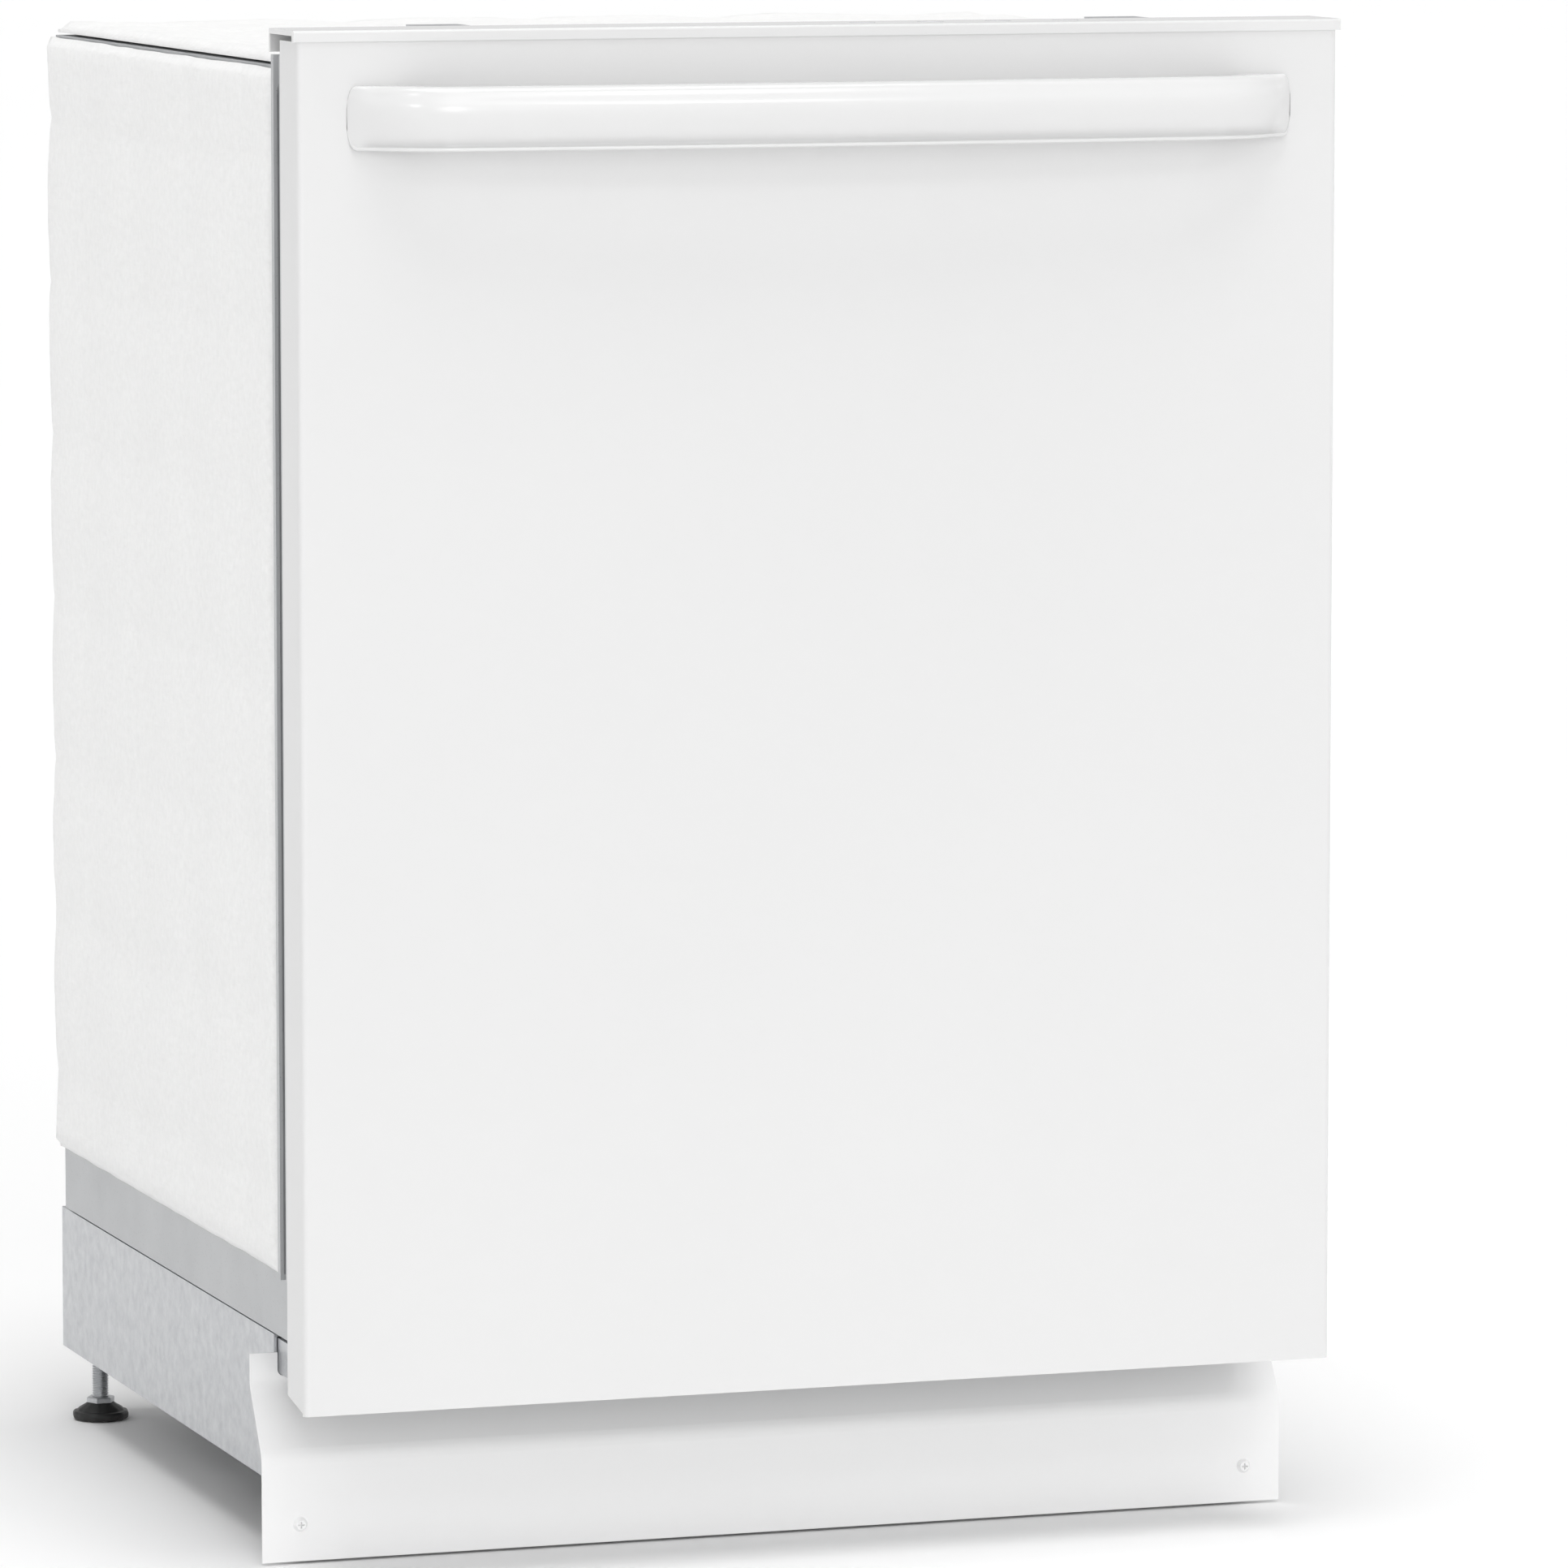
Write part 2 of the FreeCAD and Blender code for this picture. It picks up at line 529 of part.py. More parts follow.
inner = [V(H - 24, f0, 0), V(px - 6, py + th - 1.5, 0), V(0, f0 - proj + th, 0), V(-px + 6, py + th - 1.5, 0), V(-H + 24, f0, 0)]
g = []
g.append(hsk.addGeometry(Part.Arc(outer[0], outer[1], outer[2])))
g.append(hsk.addGeometry(Part.Arc(outer[2], outer[3], outer[4])))
g.append(hsk.addGeometry(Part.Arc(outer[4], outer[5], outer[6])))
g.append(hsk.addGeometry(Part.LineSegment(outer[6], inner[0])))
g.append(hsk.addGeometry(Part.LineSegment(inner[0], inner[1])))
g.append(hsk.addGeometry(Part.Arc(inner[1], inner[2], inner[3])))
g.append(hsk.addGeometry(Part.LineSegment(inner[3], inner[4])))
g.append(hsk.addGeometry(Part.LineSegment(inner[4], outer[0])))
for i in g:
    hsk.addConstraint(Sketcher.Constraint("Block", i))
hp = bar.newObject("PartDesign::Pad", "door_handle_pad")
hp.Profile = hsk
bind(hp, "Length", D.handle_tall)
dress(bar, 5.0, lambda e: e.Length > 300 and mid(e).y < f0 - 30)
node(bar)

# latch: the strike on the tub, and the hook on the door, drawn released
node(group("latch_strike", [box("strike_bar", -12, 12, -216, -207, 845, 846.2)]))
hook = prism("latch_hook", "YZ", [[
    (-254, 849.4), (-206, 849.4), (-206, 846.6), (-201.5, 846.6), (-201.5, 852.4), (-254, 852.4),
]], -7, 7)
pocket(hook, "YZ", [("circle", -250, 850.9, 0.6)])
node(hook)

# brackets that screw up into the worktop
cb = fuse("counter_bracket_blank", [
    box("counter_bracket_up", 185, 215, -217, -215.4, 845.2, 859.4),
    box("counter_bracket_flat", 185, 215, -217, -185, 857.8, 859.4),
])
cbr = cut("counter_bracket_right", cb, [cyl("counter_hole", 200, -198, 850, 2.4, 12)])
node(pair("counter_brackets", cbr))

# ---------------------------------------------------------------- sump, filter, pumps
sump_case = box("sump_case", -95, 130, -75, 85, 72, D.tub_floor - 0.2)
sump_bowl = box("sump_bowl", -91, 126, -71, 81, 76, D.tub_floor + 1)
node(cut("sump", sump_case, [sump_bowl, cyl("sump_to_pump", -96, 60, 84, 6, 8, "x"), cyl("sump_to_drain", 125, 40, 84, 6, 8, "x")]))
plate = prism("filter_plate", "XY", [[(-94, -74), (129, -74), (129, 84), (-94, 84)], ("circle", 0, D.hub_y, 15), ("circle", 68, -14, 33.4)],
              D.tub_floor + D.tub_t + 0.2, D.tub_floor + D.tub_t + 2.2)
pocket(plate, "XY", [("circle", -80 + 16 * i, -60 + 16 * j, 3.0) for i in range(5) for j in range(8)])
node(plate)
hub_post = fuse("lower_arm_hub", [
    cyl("hub_tube", 0, D.hub_y, 76.2, 14, D.arm_low.v - 76.7),
    cyl("hub_spindle", 0, D.hub_y, D.arm_low - 0.6, 7, 20.6),
    cyl("hub_nut", 0, D.hub_y, 182, 12, 8),
])
node(hub_post)
fc = fuse("filter_cylinder", [
    cyl("filter_mesh", 68, -14, 84, 31, 56),
    cyl("filter_cap", 68, -14, 134.8, 36, 4),
    box("filter_grip", 66, 70, -36, 8, 138.6, 148),
])
node(fc)
node(cut("wash_pump_housing", cyl("volute_case", -143, 60, 60, 34, 43, "x"), [cyl("volute_cavity", -139, 60, 60, 28, 29, "x"), cyl("volute_eye", -112, 60, 60, 11, 14, "x"),
                                              cyl("volute_shaft_hole", -145, 60, 60, 5.2, 8, "x")]))
node(fuse("pump_impeller", [
    cyl("impeller_disc", -136, 60, 60, 24, 3, "x"),
    cyl("impeller_boss", -136, 60, 60, 8, 20, "x"),
    box("impeller_blade_a", -133.5, -118, 59, 61, 38, 82),
    box("impeller_blade_b", -133.5, -118, 38, 82, 59, 61),
    cyl("impeller_shaft", -145.8, 60, 60, 4, 10, "x"),
]))
node(fuse("wash_motor", [
    cyl("motor_can", -238, 60, 60, 38, 88, "x"),
    cyl("motor_nose", -150, 60, 60, 20, 3.6, "x"),
    box("motor_foot", -225, -165, 40, 80, 18, 30),
]))
node(fuse("drain_pump", [
    cyl("drain_case", 134.2, 40, 64, 26, 30, "x"),
    cyl("drain_motor", 164, 40, 64, 20, 36, "x"),
    cyl("drain_outlet", 149, 60, 64, 10, 24, "y"),
]))


def tube(label, pts, radii, r):
    """A hose: straight runs joined by tangent arcs, swept with a round section."""
    pts = [V(*p) for p in pts]
    edges, start = [], pts[0]
    for i in range(1, len(pts) - 1):
        a, b, c = pts[i - 1], pts[i], pts[i + 1]
        u, w = (a - b).normalize(), (c - b).normalize()
        ang = u.getAngle(w)
        back = radii[i - 1] / math.tan(ang / 2)
        p0, p1 = b + u * back, b + w * back
        m = (u + w).normalize()
        centre = b + m * (radii[i - 1] / math.sin(ang / 2))
        pm = centre - m * radii[i - 1]
        edges.append(Part.LineSegment(start, p0).toShape())
        edges.append(Part.Arc(p0, pm, p1).toShape())
        start = p1
    edges.append(Part.LineSegment(start, pts[-1]).toShape())
    path = Part.Wire(edges)
    ring = Part.Wire([Part.makeCircle(r, pts[0], (pts[1] - pts[0]).normalize())])
    solid = path.makePipeShell([ring], True, False, 2)
    expected = math.pi * r * r * path.Length
    print("%s: length %.1f, volume %.0f of %.0f, radii %s" % (label, path.Length, solid.Volume, expected, radii))
    o = add("Part::Feature", label)
    o.Shape = solid
    return o


drain_line = tube("drain_line", [(149, 84.2, 64), (149, 150, 64), (172, 215, 58), (172, 290, 58)], [70, 70], 9.5)
spigot = cyl("drain_spigot", 172, 290, 58, 9, D.half_depth - 290, "y")
node(group("drain_hose", [drain_line, spigot]))
node(fuse("inlet_valve", [
    box("valve_body", -256, -206, -130, -100, 52, 84),
    cyl("valve_coil", -231, -99.9 - 15.1, 84, 13, 24),
    cut("valve_port", cyl("valve_port_case", -231, -115, 38, 12, 14.5), [cyl("valve_port_bore", -231, -115, 37, 7.5, 13)]),
    cyl("valve_outlet", -251, -100, 68, 5, 12, "y"),
]))
node(tube("fill_hose", [(-251, -87.8, 68), (-251, 236, 68), (-251, 236, 127.6)], [26], 5.5))
jb = cut("junction_box", box("junction_case", 196, 256, -138, -60, 44, 94), [
    box("junction_inside", 198, 254, -136, -62, 46, 92), cyl("junction_knockout", 226, -99, 43, 11.1, 4)])
node(jb)
node(fuse("water_feed_tube", [
    box("feed_riser", -13, 13, 274, 295.6, 133, 828),
    box("feed_top", -12, 12, 30, 275, 812, 828),
    cyl("feed_top_hub", 0, D.hub_y, 799.4, 10, 13),
    cyl("feed_top_spindle", 0, D.hub_y, 780, 6, 20),
    cyl("feed_top_nut", 0, D.hub_y, 776, 10, 6),
    cyl("feed_dock", 0, 268.6, 485, 8, 8, "y"),
]))

# tubular heater under the lower arm
z = 148.0
node(feature("heating_element", rods("heating_element", [
    ((-168, -120, z), (-168, 195, z), 4), ((168, -120, z), (168, 195, z), 4),
    ((-162, -128, z), (162, -128, z), 4), ((-162, 203, z), (-30, 203, z), 4), ((162, 203, z), (30, 203, z), 4),
    ((-24, 203, 132.3), (-24, 203, z + 4), 4), ((24, 203, 132.3), (24, 203, z + 4), 4),
])))


def spray_arm(label, cx, cy, low, r, half_w, thick, bore):
    """A flat blade that narrows to round ends, bored for its spindle."""
    pts = []
    for s in (1, -1):
        for k in range(9):
            a = math.radians(-90 + 180 * k / 8) if s == 1 else math.radians(90 + 180 * k / 8)
            pts.append((cx + s * (r - half_w * 0.6) + half_w * 0.6 * math.cos(a), cy + half_w * 0.6 * math.sin(a)))
        pts.append((cx + s * 34, cy + s * half_w))
        pts.append((cx - s * 34, cy + s * half_w))
    b = prism(label, "XY", [pts], low, low + thick)
    pocket(b, "XY", [("circle", cx, cy, bore)] + [("circle", cx + s * k * r / 5.2, cy + (4 if k % 2 else -4) * s, 1.8) for s in (1, -1) for k in (2, 3, 4)])
    dress(b, 2.0, lambda e: abs(mid(e).z - (low + thick)) < 0.01 and e.Length > r * 0.5)
    return b


node(spray_arm("lower_spray_arm", 0, 40, 162.0, D.arm_r.v, 22, 16, 7.08))
node(spray_arm("top_spray_arm", 0, 40, 783.0, D.top_arm_r.v, 17, 14, 6.08))
node(spray_arm("upper_spray_arm", 0, 30, 464.0, D.upper_arm_r.v, 19, 13, 6.08))
node(fuse("upper_arm_manifold", [
    box("manifold_tube", -11, 11, 30, 262, 481, 494),
    cyl("manifold_hub", 0, D.upper_hub_y, 478, 13, 4),
    cyl("manifold_spindle", 0, D.upper_hub_y, 461, 6, 18),
    cyl("manifold_nut", 0, D.upper_hub_y, 456, 11, 7),
    cyl("manifold_nozzle", 0, 261.5, 487.5, 6, 5, "y"),
]))
node(cut("float_cap", fuse("float_blank", [
    cyl("float_body", -200, -130, 133, 20, 34), cyl("float_dome", -200, -130, 167, 20, 7, "z", r2=12),
]), [cyl("float_bore", -200, -130, 132, 6.08, 30)]))

# ---------------------------------------------------------------- legs
for side, sx in (("left", -1), ("right", 1)):
    for end, ly in (("front", D.leg_front), ("rear", D.leg_rear)):
        n = "leg_%s_%s" % (end, side)
        node(fuse(n, [
            cyl(n + "_foot", D.leg_x * sx, ly, 0, D.foot_r, 5),
            cyl(n + "_cone", D.leg_x * sx, ly, 5, 14, 5, "z", r2=8),
            cyl(n + "_stud", D.leg_x * sx, ly, 9.5, D.stud_r, 64),
        ]))

# ---------------------------------------------------------------- racks
rail_c = prism("rack_rail_right", "XZ", [[
    (281.2, 594), (287.8, 594), (287.8, 620), (281.2, 620), (281.2, 618), (285.6, 618), (285.6, 596), (281.2, 596),
]], -196, 280)
node(pair("rack_rails", rail_c))
node(pair("rack_slides", prism("rack_slide_right", "XZ", [[
    (273.0, D.slide_z), (285.2, D.slide_z), (285.2, D.slide_z + 14), (273.0, D.slide_z + 14),
]], -196, 258)))

r, tr = D.rod_r.v, D.tine_r.v
y0, y1 = D.rack_front.v, D.lower_rear.v
X, zl, zh = D.lower_half.v, D.lower_low.v, D.lower_high.v
items = []
for x in (-220, -165, -110, -55, 0, 55, 110, 165, 220):
    items.append(((x, y0 + 4, zl), (x, y1 - 4, zl), r))
for y in (-190, -105, -20, 75, 170, 238):
    items.append(((-X + 3, y, zl + 4.2), (X - 3, y, zl + 4.2), r))
for s in (-1, 1):
    for y in (-150, -62, 28, 122, 205):
        items.append(((s * X, y, zl), (s * X, y, zh - 2.6), r))
    items.append(((s * X, y0 + 8, zh), (s * X, y1 - 8, zh), r + 0.4))
    items.append(((s * (X - 4.3), y0 + 8, 266), (s * (X - 4.3), y1 - 8, 266), r))
for y, sy in ((y0, 1), (y1, -1)):
    for x in (-192, -96, 0, 96, 192):
        items.append(((x, y, zl + (0 if sy == 1 else 0)), (x, y, zh - 2.6), r))
    items.append(((-X + 8, y, zh), (X - 8, y, zh), r + 0.4))
    items.append(((-X + 8, y + 4.3 * sy, 266), (X - 8, y + 4.3 * sy, 266), r))
for x in (-138, 82):
    for k in range(9):
        y = -30 + 30 * k
        items.append(((x, y, zl + 6.6), (x, y, zl + 96), tr))
shapes = rods("lower_rack", items)
for s in (-1, 1):
    for wy in (D.wheel_front.v, D.wheel_rear.v):
        ear = Part.makeBox(5, 16, zl + 1.9 - 148, V(236 if s > 0 else -241, wy - 8, 148))
        stub = Part.makeCylinder(4, 19, V(s * 240.5, wy, D.wheel_z.v), V(s, 0, 0))
        shapes.append(ear.fuse(stub).removeSplitter())
node(feature("lower_rack", shapes))
for n, wy in (("lower_wheels_front", D.wheel_front), ("lower_wheels_rear", D.wheel_rear)):
    w = cut(n + "_right", cyl(n + "_disc", 244, wy, D.wheel_z, D.wheel_r, 12, "x"), [cyl(n + "_bore", 243, wy, D.wheel_z, 4.08, 14, "x")])
    node(pair(n, w))

y1 = D.upper_rear.v
X, zl, zh = D.upper_half.v, D.upper_low.v, D.upper_high.v
items = []
for x in (-216, -162, -108, -54, 0, 54, 108, 162, 216):
    items.append(((x, y0 + 4, zl), (x, y1 - 4, zl), r))
for y in (-190, -105, -20, 65, 150, 228):
    items.append(((-X + 3, y, zl + 4.2), (X - 3, y, zl + 4.2), r))
for s in (-1, 1):
    for y in (-150, -62, 28, 112, 195):
        items.append(((s * X, y, zl), (s * X, y, zh - 2.6), r))
    items.append(((s * X, y0 + 8, zh), (s * X, y1 - 8, zh), r + 0.4))
    items.append(((s * (X - 4.3), y0 + 8, 560), (s * (X - 4.3), y1 - 8, 560), r))
for y, sy in ((y0, 1), (y1, -1)):
    for x in (-192, -96, 0, 96, 192):
        items.append(((x, y, zl), (x, y, zh - 2.6), r))
    items.append(((-X + 8, y, zh), (X - 8, y, zh), r + 0.4))
    items.append(((-X + 8, y + 4.3 * sy, 560), (X - 8, y + 4.3 * sy, 560), r))
for x in (-60, 60):
    for k in range(8):
        y = -150 + 42 * k
        items.append(((x, y, zl + 6.6), (x, y, zl + 62), tr))
shapes = rods("upper_rack", items)
for s in (-1, 1):
    shapes.append(Part.makeBox(14.4, 260, 18, V(258.2 if s > 0 else -272.6, -130, 598)))
node(feature("upper_rack", shapes))

for side, s in (("left", -1), ("right", 1)):
    items = []
    for x in (244, 216, 188, 164):
        items.append(((s * x, -140, 578), (s * x, 190, 578), r))
    for y in (-120, -40, 60, 170):
        items.append(((s * 242, y, 582.2), (s * 164, y, 582.2), r))
    node(feature("cup_shelf_" + side, rods("cup_shelf_" + side, items)))

basket = cut("basket_shell", box("basket_outside", -122, 122, -184, -100, 208, 322), [
    box("basket_cell_%d" % k, -120 + 60.5 * k, -120 + 60.5 * k + 58.5, -182, -102, 210.5, 323) for k in range(4)])
bh = cut("basket_handle", box("basket_handle_blank", -60, 60, -144.5, -139.5, 318, 362), [box("basket_handle_hole", -52, 52, -146, -138, 317, 354)])
node(fuse("silverware_basket", [basket, bh]))

# ---------------------------------------------------------------- check and write
doc.recompute()
bad = []
for o in doc.Objects:
    if "Invalid" in o.State or "Error" in o.State:
        bad.append("%s %s" % (o.Name, o.State))
labels = [o.Label for o in NODES]
for o in NODES:
    if not hasattr(o, "Shape") or o.Shape.isNull() or not o.Shape.isValid() or not o.Shape.Solids:
        bad.append("%s has no valid shape" % o.Label)
if len(set(labels)) != len(labels):
    bad.append("labels repeat")
if bad:
    raise SystemExit("\n".join(bad))
os.makedirs("parts", exist_ok=True)
for f in os.listdir("parts"):
    if f.endswith(".step"):
        os.remove(os.path.join("parts", f))
for o in NODES:
    assert len(o.Label) < 60
    o.Shape.exportStep("parts/%s.step" % o.Label)
whole = Part.makeCompound([o.Shape for o in NODES]).BoundBox
print("%d nodes, box %.2f..%.2f  %.2f..%.2f  %.2f..%.2f" % (len(NODES), whole.XMin, whole.XMax, whole.YMin, whole.YMax, whole.ZMin, whole.ZMax))
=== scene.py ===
"""Visual model of a built-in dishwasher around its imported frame. Lengths in mm are turned into metres by MM."""
import json
import math

import bmesh
import bpy
from mathutils import Matrix, Vector, noise


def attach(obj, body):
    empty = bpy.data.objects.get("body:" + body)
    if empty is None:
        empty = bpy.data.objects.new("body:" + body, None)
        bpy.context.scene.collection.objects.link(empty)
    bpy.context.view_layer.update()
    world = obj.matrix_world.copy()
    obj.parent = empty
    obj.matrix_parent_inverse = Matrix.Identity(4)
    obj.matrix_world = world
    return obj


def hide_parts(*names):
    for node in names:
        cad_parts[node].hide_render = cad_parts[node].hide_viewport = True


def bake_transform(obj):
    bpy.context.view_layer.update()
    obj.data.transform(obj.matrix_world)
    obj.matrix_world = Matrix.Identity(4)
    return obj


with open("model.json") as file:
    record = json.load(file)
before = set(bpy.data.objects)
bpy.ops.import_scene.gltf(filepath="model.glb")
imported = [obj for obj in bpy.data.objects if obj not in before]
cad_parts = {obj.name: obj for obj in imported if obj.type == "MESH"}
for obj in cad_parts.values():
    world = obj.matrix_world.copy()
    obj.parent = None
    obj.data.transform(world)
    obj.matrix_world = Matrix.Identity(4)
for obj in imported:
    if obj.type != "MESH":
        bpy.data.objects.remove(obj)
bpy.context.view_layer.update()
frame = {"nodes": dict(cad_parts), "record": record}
nodes = frame["nodes"]
scene = bpy.context.scene
MM = 0.001
PI = math.pi


# ------------------------------------------------------------------ materials
def link(nt, a, b):
    nt.links.new(a, b)


def ramp(nt, fac, stops):
    r = nt.nodes.new("ShaderNodeValToRGB")
    while len(r.color_ramp.elements) < len(stops):
        r.color_ramp.elements.new(0.5)
    for e, (p, c) in zip(r.color_ramp.elements, stops):
        e.position = p
        e.color = (c[0], c[1], c[2], 1.0) if hasattr(c, "__len__") else (c, c, c, 1.0)
    link(nt, fac, r.inputs["Fac"])
    return r.outputs["Color"]


def noise_tex(nt, co, scale, detail=4.0, rough=0.55, stretch=None, distortion=0.0):
    if stretch:
        m = nt.nodes.new("ShaderNodeMapping")
        m.inputs["Scale"].default_value = stretch
        link(nt, co, m.inputs["Vector"])
        co = m.outputs["Vector"]
    n = nt.nodes.new("ShaderNodeTexNoise")
    n.inputs["Scale"].default_value = scale
    n.inputs["Detail"].default_value = detail
    n.inputs["Roughness"].default_value = rough
    n.inputs["Distortion"].default_value = distortion
    link(nt, co, n.inputs["Vector"])
    return n.outputs["Fac"]


def material(name, dark, light, rough, metallic=0.0, var_scale=6.0, rough_span=0.08, rough_scale=30.0, bumps=(), coat=0.0,
             coat_rough=0.1, stretch=None, specks=None, sheen=0.0, subsurface=0.0, ior=1.5, aniso=0.0, wear=None):
    """A Principled material: two noise-mixed tones, noise in its roughness, and layers of bump.

    bumps holds (kind, scale, strength, distance in mm, stretch). specks holds (scale, share, colour).
    """
    m = bpy.data.materials.new(name)
    m.use_nodes = True
    nt = m.node_tree
    nt.nodes.clear()
    out = nt.nodes.new("ShaderNodeOutputMaterial")
    p = nt.nodes.new("ShaderNodeBsdfPrincipled")
    link(nt, p.outputs["BSDF"], out.inputs["Surface"])
    co = nt.nodes.new("ShaderNodeTexCoord").outputs["Object"]
    col = ramp(nt, noise_tex(nt, co, var_scale, 5.0, 0.6, stretch), [(0.30, dark), (0.70, light)])
    if specks:
        sc, share, sc_col = specks
        v = nt.nodes.new("ShaderNodeTexVoronoi")
        v.inputs["Scale"].default_value = sc
        link(nt, co, v.inputs["Vector"])
        mask = ramp(nt, v.outputs["Distance"], [(share * 0.6, 1.0), (share, 0.0)])
        mx = nt.nodes.new("ShaderNodeMix")
        mx.data_type = "RGBA"
        link(nt, mask, mx.inputs["Factor"])
        link(nt, col, mx.inputs[6])
        mx.inputs[7].default_value = (sc_col[0], sc_col[1], sc_col[2], 1.0)
        col = mx.outputs[2]
    if wear:
        w_scale, w_share, w_col = wear
        mask = ramp(nt, noise_tex(nt, co, w_scale, 8.0, 0.7, None, 0.4), [(1.0 - w_share, 0.0), (min(1.0, 1.0 - w_share + 0.12), 1.0)])
        mx = nt.nodes.new("ShaderNodeMix")
        mx.data_type = "RGBA"
        link(nt, mask, mx.inputs["Factor"])
        link(nt, col, mx.inputs[6])
        mx.inputs[7].default_value = (w_col[0], w_col[1], w_col[2], 1.0)
        col = mx.outputs[2]
    link(nt, col, p.inputs["Base Color"])
    rr = nt.nodes.new("ShaderNodeMapRange")
    rr.inputs["From Min"].default_value = 0.25
    rr.inputs["From Max"].default_value = 0.75
    rr.inputs["To Min"].default_value = max(0.03, rough - rough_span / 2)
    rr.inputs["To Max"].default_value = min(1.0, rough + rough_span / 2)
    link(nt, noise_tex(nt, co, rough_scale, 3.0, 0.6, stretch), rr.inputs["Value"])
    link(nt, rr.outputs["Result"], p.inputs["Roughness"])
    p.inputs["Metallic"].default_value = metallic
    p.inputs["IOR"].default_value = ior
    p.inputs["Coat Weight"].default_value = coat
    p.inputs["Coat Roughness"].default_value = coat_rough
    p.inputs["Sheen Weight"].default_value = sheen
    p.inputs["Subsurface Weight"].default_value = subsurface
    p.inputs["Subsurface Radius"].default_value = (0.004, 0.004, 0.004)
    p.inputs["Anisotropic"].default_value = aniso
    last = None
    for kind, scale, strength, dist, st in bumps:
        if kind == "noise":
            h = noise_tex(nt, co, scale, 4.0, 0.6, st)
        elif kind == "voronoi":
            v = nt.nodes.new("ShaderNodeTexVoronoi")
            v.inputs["Scale"].default_value = scale
            link(nt, co, v.inputs["Vector"])
            h = v.outputs["Distance"]
        else:
            w = nt.nodes.new("ShaderNodeTexWave")
            w.inputs["Scale"].default_value = scale
            w.inputs["Distortion"].default_value = 6.0
            w.inputs["Detail"].default_value = 3.0
            link(nt, co, w.inputs["Vector"])
            h = w.outputs["Fac"]
        b = nt.nodes.new("ShaderNodeBump")
        b.inputs["Strength"].default_value = strength
        b.inputs["Distance"].default_value = dist * MM
        link(nt, h, b.inputs["Height"])
        if last is not None:
            link(nt, last, b.inputs["Normal"])
        last = b.outputs["Normal"]
    if last is not None:
        link(nt, last, p.inputs["Normal"])
    return m


def g(v):
    return (v, v, v)


M = {}
M["white_enamel"] = material("white_enamel", g(0.716), g(0.732), 0.30, var_scale=1.6, rough_span=0.05, rough_scale=9.0, coat=0.35, coat_rough=0.08,
                             bumps=[("noise", 420.0, 0.05, 0.05, None), ("noise", 60.0, 0.03, 0.08, None)])
M["white_plastic"] = material("white_plastic", g(0.722), g(0.738), 0.22, var_scale=3.0, rough_span=0.05, rough_scale=20.0, coat=0.45, coat_rough=0.16,
                              bumps=[("noise", 900.0, 0.04, 0.03, None)])
# Painted light: the same white enamel as the door, made much brighter so the toe panel, which sits recessed in the
# door's shade, reads as lit as the door front.
M["toe_enamel_painted_light"] = material("toe_enamel_painted_light", g(0.905), g(0.918), 0.34, var_scale=1.6, rough_span=0.05, rough_scale=9.0, coat=0.25, coat_rough=0.12,
                           bumps=[("noise", 420.0, 0.05, 0.05, None), ("noise", 60.0, 0.03, 0.08, None)])
M["button_plastic"] = material("button_plastic", (0.66, 0.67, 0.69), (0.70, 0.71, 0.73), 0.38, var_scale=60.0, rough_span=0.08, rough_scale=200.0,
                               bumps=[("noise", 1500.0, 0.08, 0.03, None)])
M["tub_plastic"] = material("tub_plastic", (0.47, 0.48, 0.49), (0.53, 0.54, 0.55), 0.42, var_scale=7.0, rough_span=0.12, rough_scale=35.0,
                            specks=(420.0, 0.16, (0.36, 0.37, 0.38)), bumps=[("noise", 700.0, 0.10, 0.06, None), ("noise", 18.0, 0.05, 0.3, None)],
                            wear=(14.0, 0.30, (0.57, 0.58, 0.58)))
M["grey_plastic"] = material("grey_plastic", (0.155, 0.162, 0.172), (0.195, 0.203, 0.214), 0.46, var_scale=22.0, rough_span=0.14, rough_scale=70.0,
                             bumps=[("noise", 1100.0, 0.14, 0.05, None)], wear=(40.0, 0.28, (0.25, 0.255, 0.26)))
M["black_plastic"] = material("black_plastic", g(0.014), g(0.028), 0.45, var_scale=26.0, rough_span=0.16, rough_scale=60.0,
                              bumps=[("noise", 900.0, 0.18, 0.06, None)], wear=(30.0, 0.24, g(0.05)))
M["zinc_steel"] = material("zinc_steel", (0.52, 0.53, 0.55), (0.62, 0.63, 0.64), 0.42, metallic=1.0, var_scale=120.0, rough_span=0.18, rough_scale=110.0,
                           specks=(240.0, 0.26, (0.60, 0.61, 0.62)), bumps=[("voronoi", 220.0, 0.04, 0.04, None), ("noise", 600.0, 0.06, 0.03, None)],
                           wear=(16.0, 0.26, (0.40, 0.40, 0.41)))
M["stainless"] = material("stainless", g(0.52), g(0.62), 0.28, metallic=1.0, var_scale=30.0, rough_span=0.14, rough_scale=120.0, stretch=(30.0, 1.0, 30.0),
                          aniso=0.4, bumps=[("noise", 60.0, 0.12, 0.03, (40.0, 1.0, 40.0))])
M["rubber"] = material("rubber", g(0.012), g(0.026), 0.62, var_scale=30.0, rough_span=0.16, rough_scale=90.0,
                       bumps=[("noise", 700.0, 0.2, 0.08, None)], wear=(24.0, 0.3, g(0.045)))
M["gasket_rubber"] = material("gasket_rubber", (0.125, 0.130, 0.136), (0.170, 0.176, 0.182), 0.58, var_scale=24.0, rough_span=0.14, rough_scale=80.0,
                              bumps=[("noise", 650.0, 0.16, 0.07, None)], wear=(20.0, 0.3, (0.22, 0.225, 0.23)))
M["fleece"] = material("fleece", (0.885, 0.885, 0.88), (0.945, 0.945, 0.94), 0.92, var_scale=210.0, rough_span=0.08, rough_scale=90.0, sheen=0.35,
                       bumps=[("noise", 260.0, 0.6, 0.9, (1.0, 0.35, 1.7)), ("noise", 1100.0, 0.55, 0.35, (0.4, 1.0, 1.0)), ("wave", 110.0, 0.10, 0.4, None)])
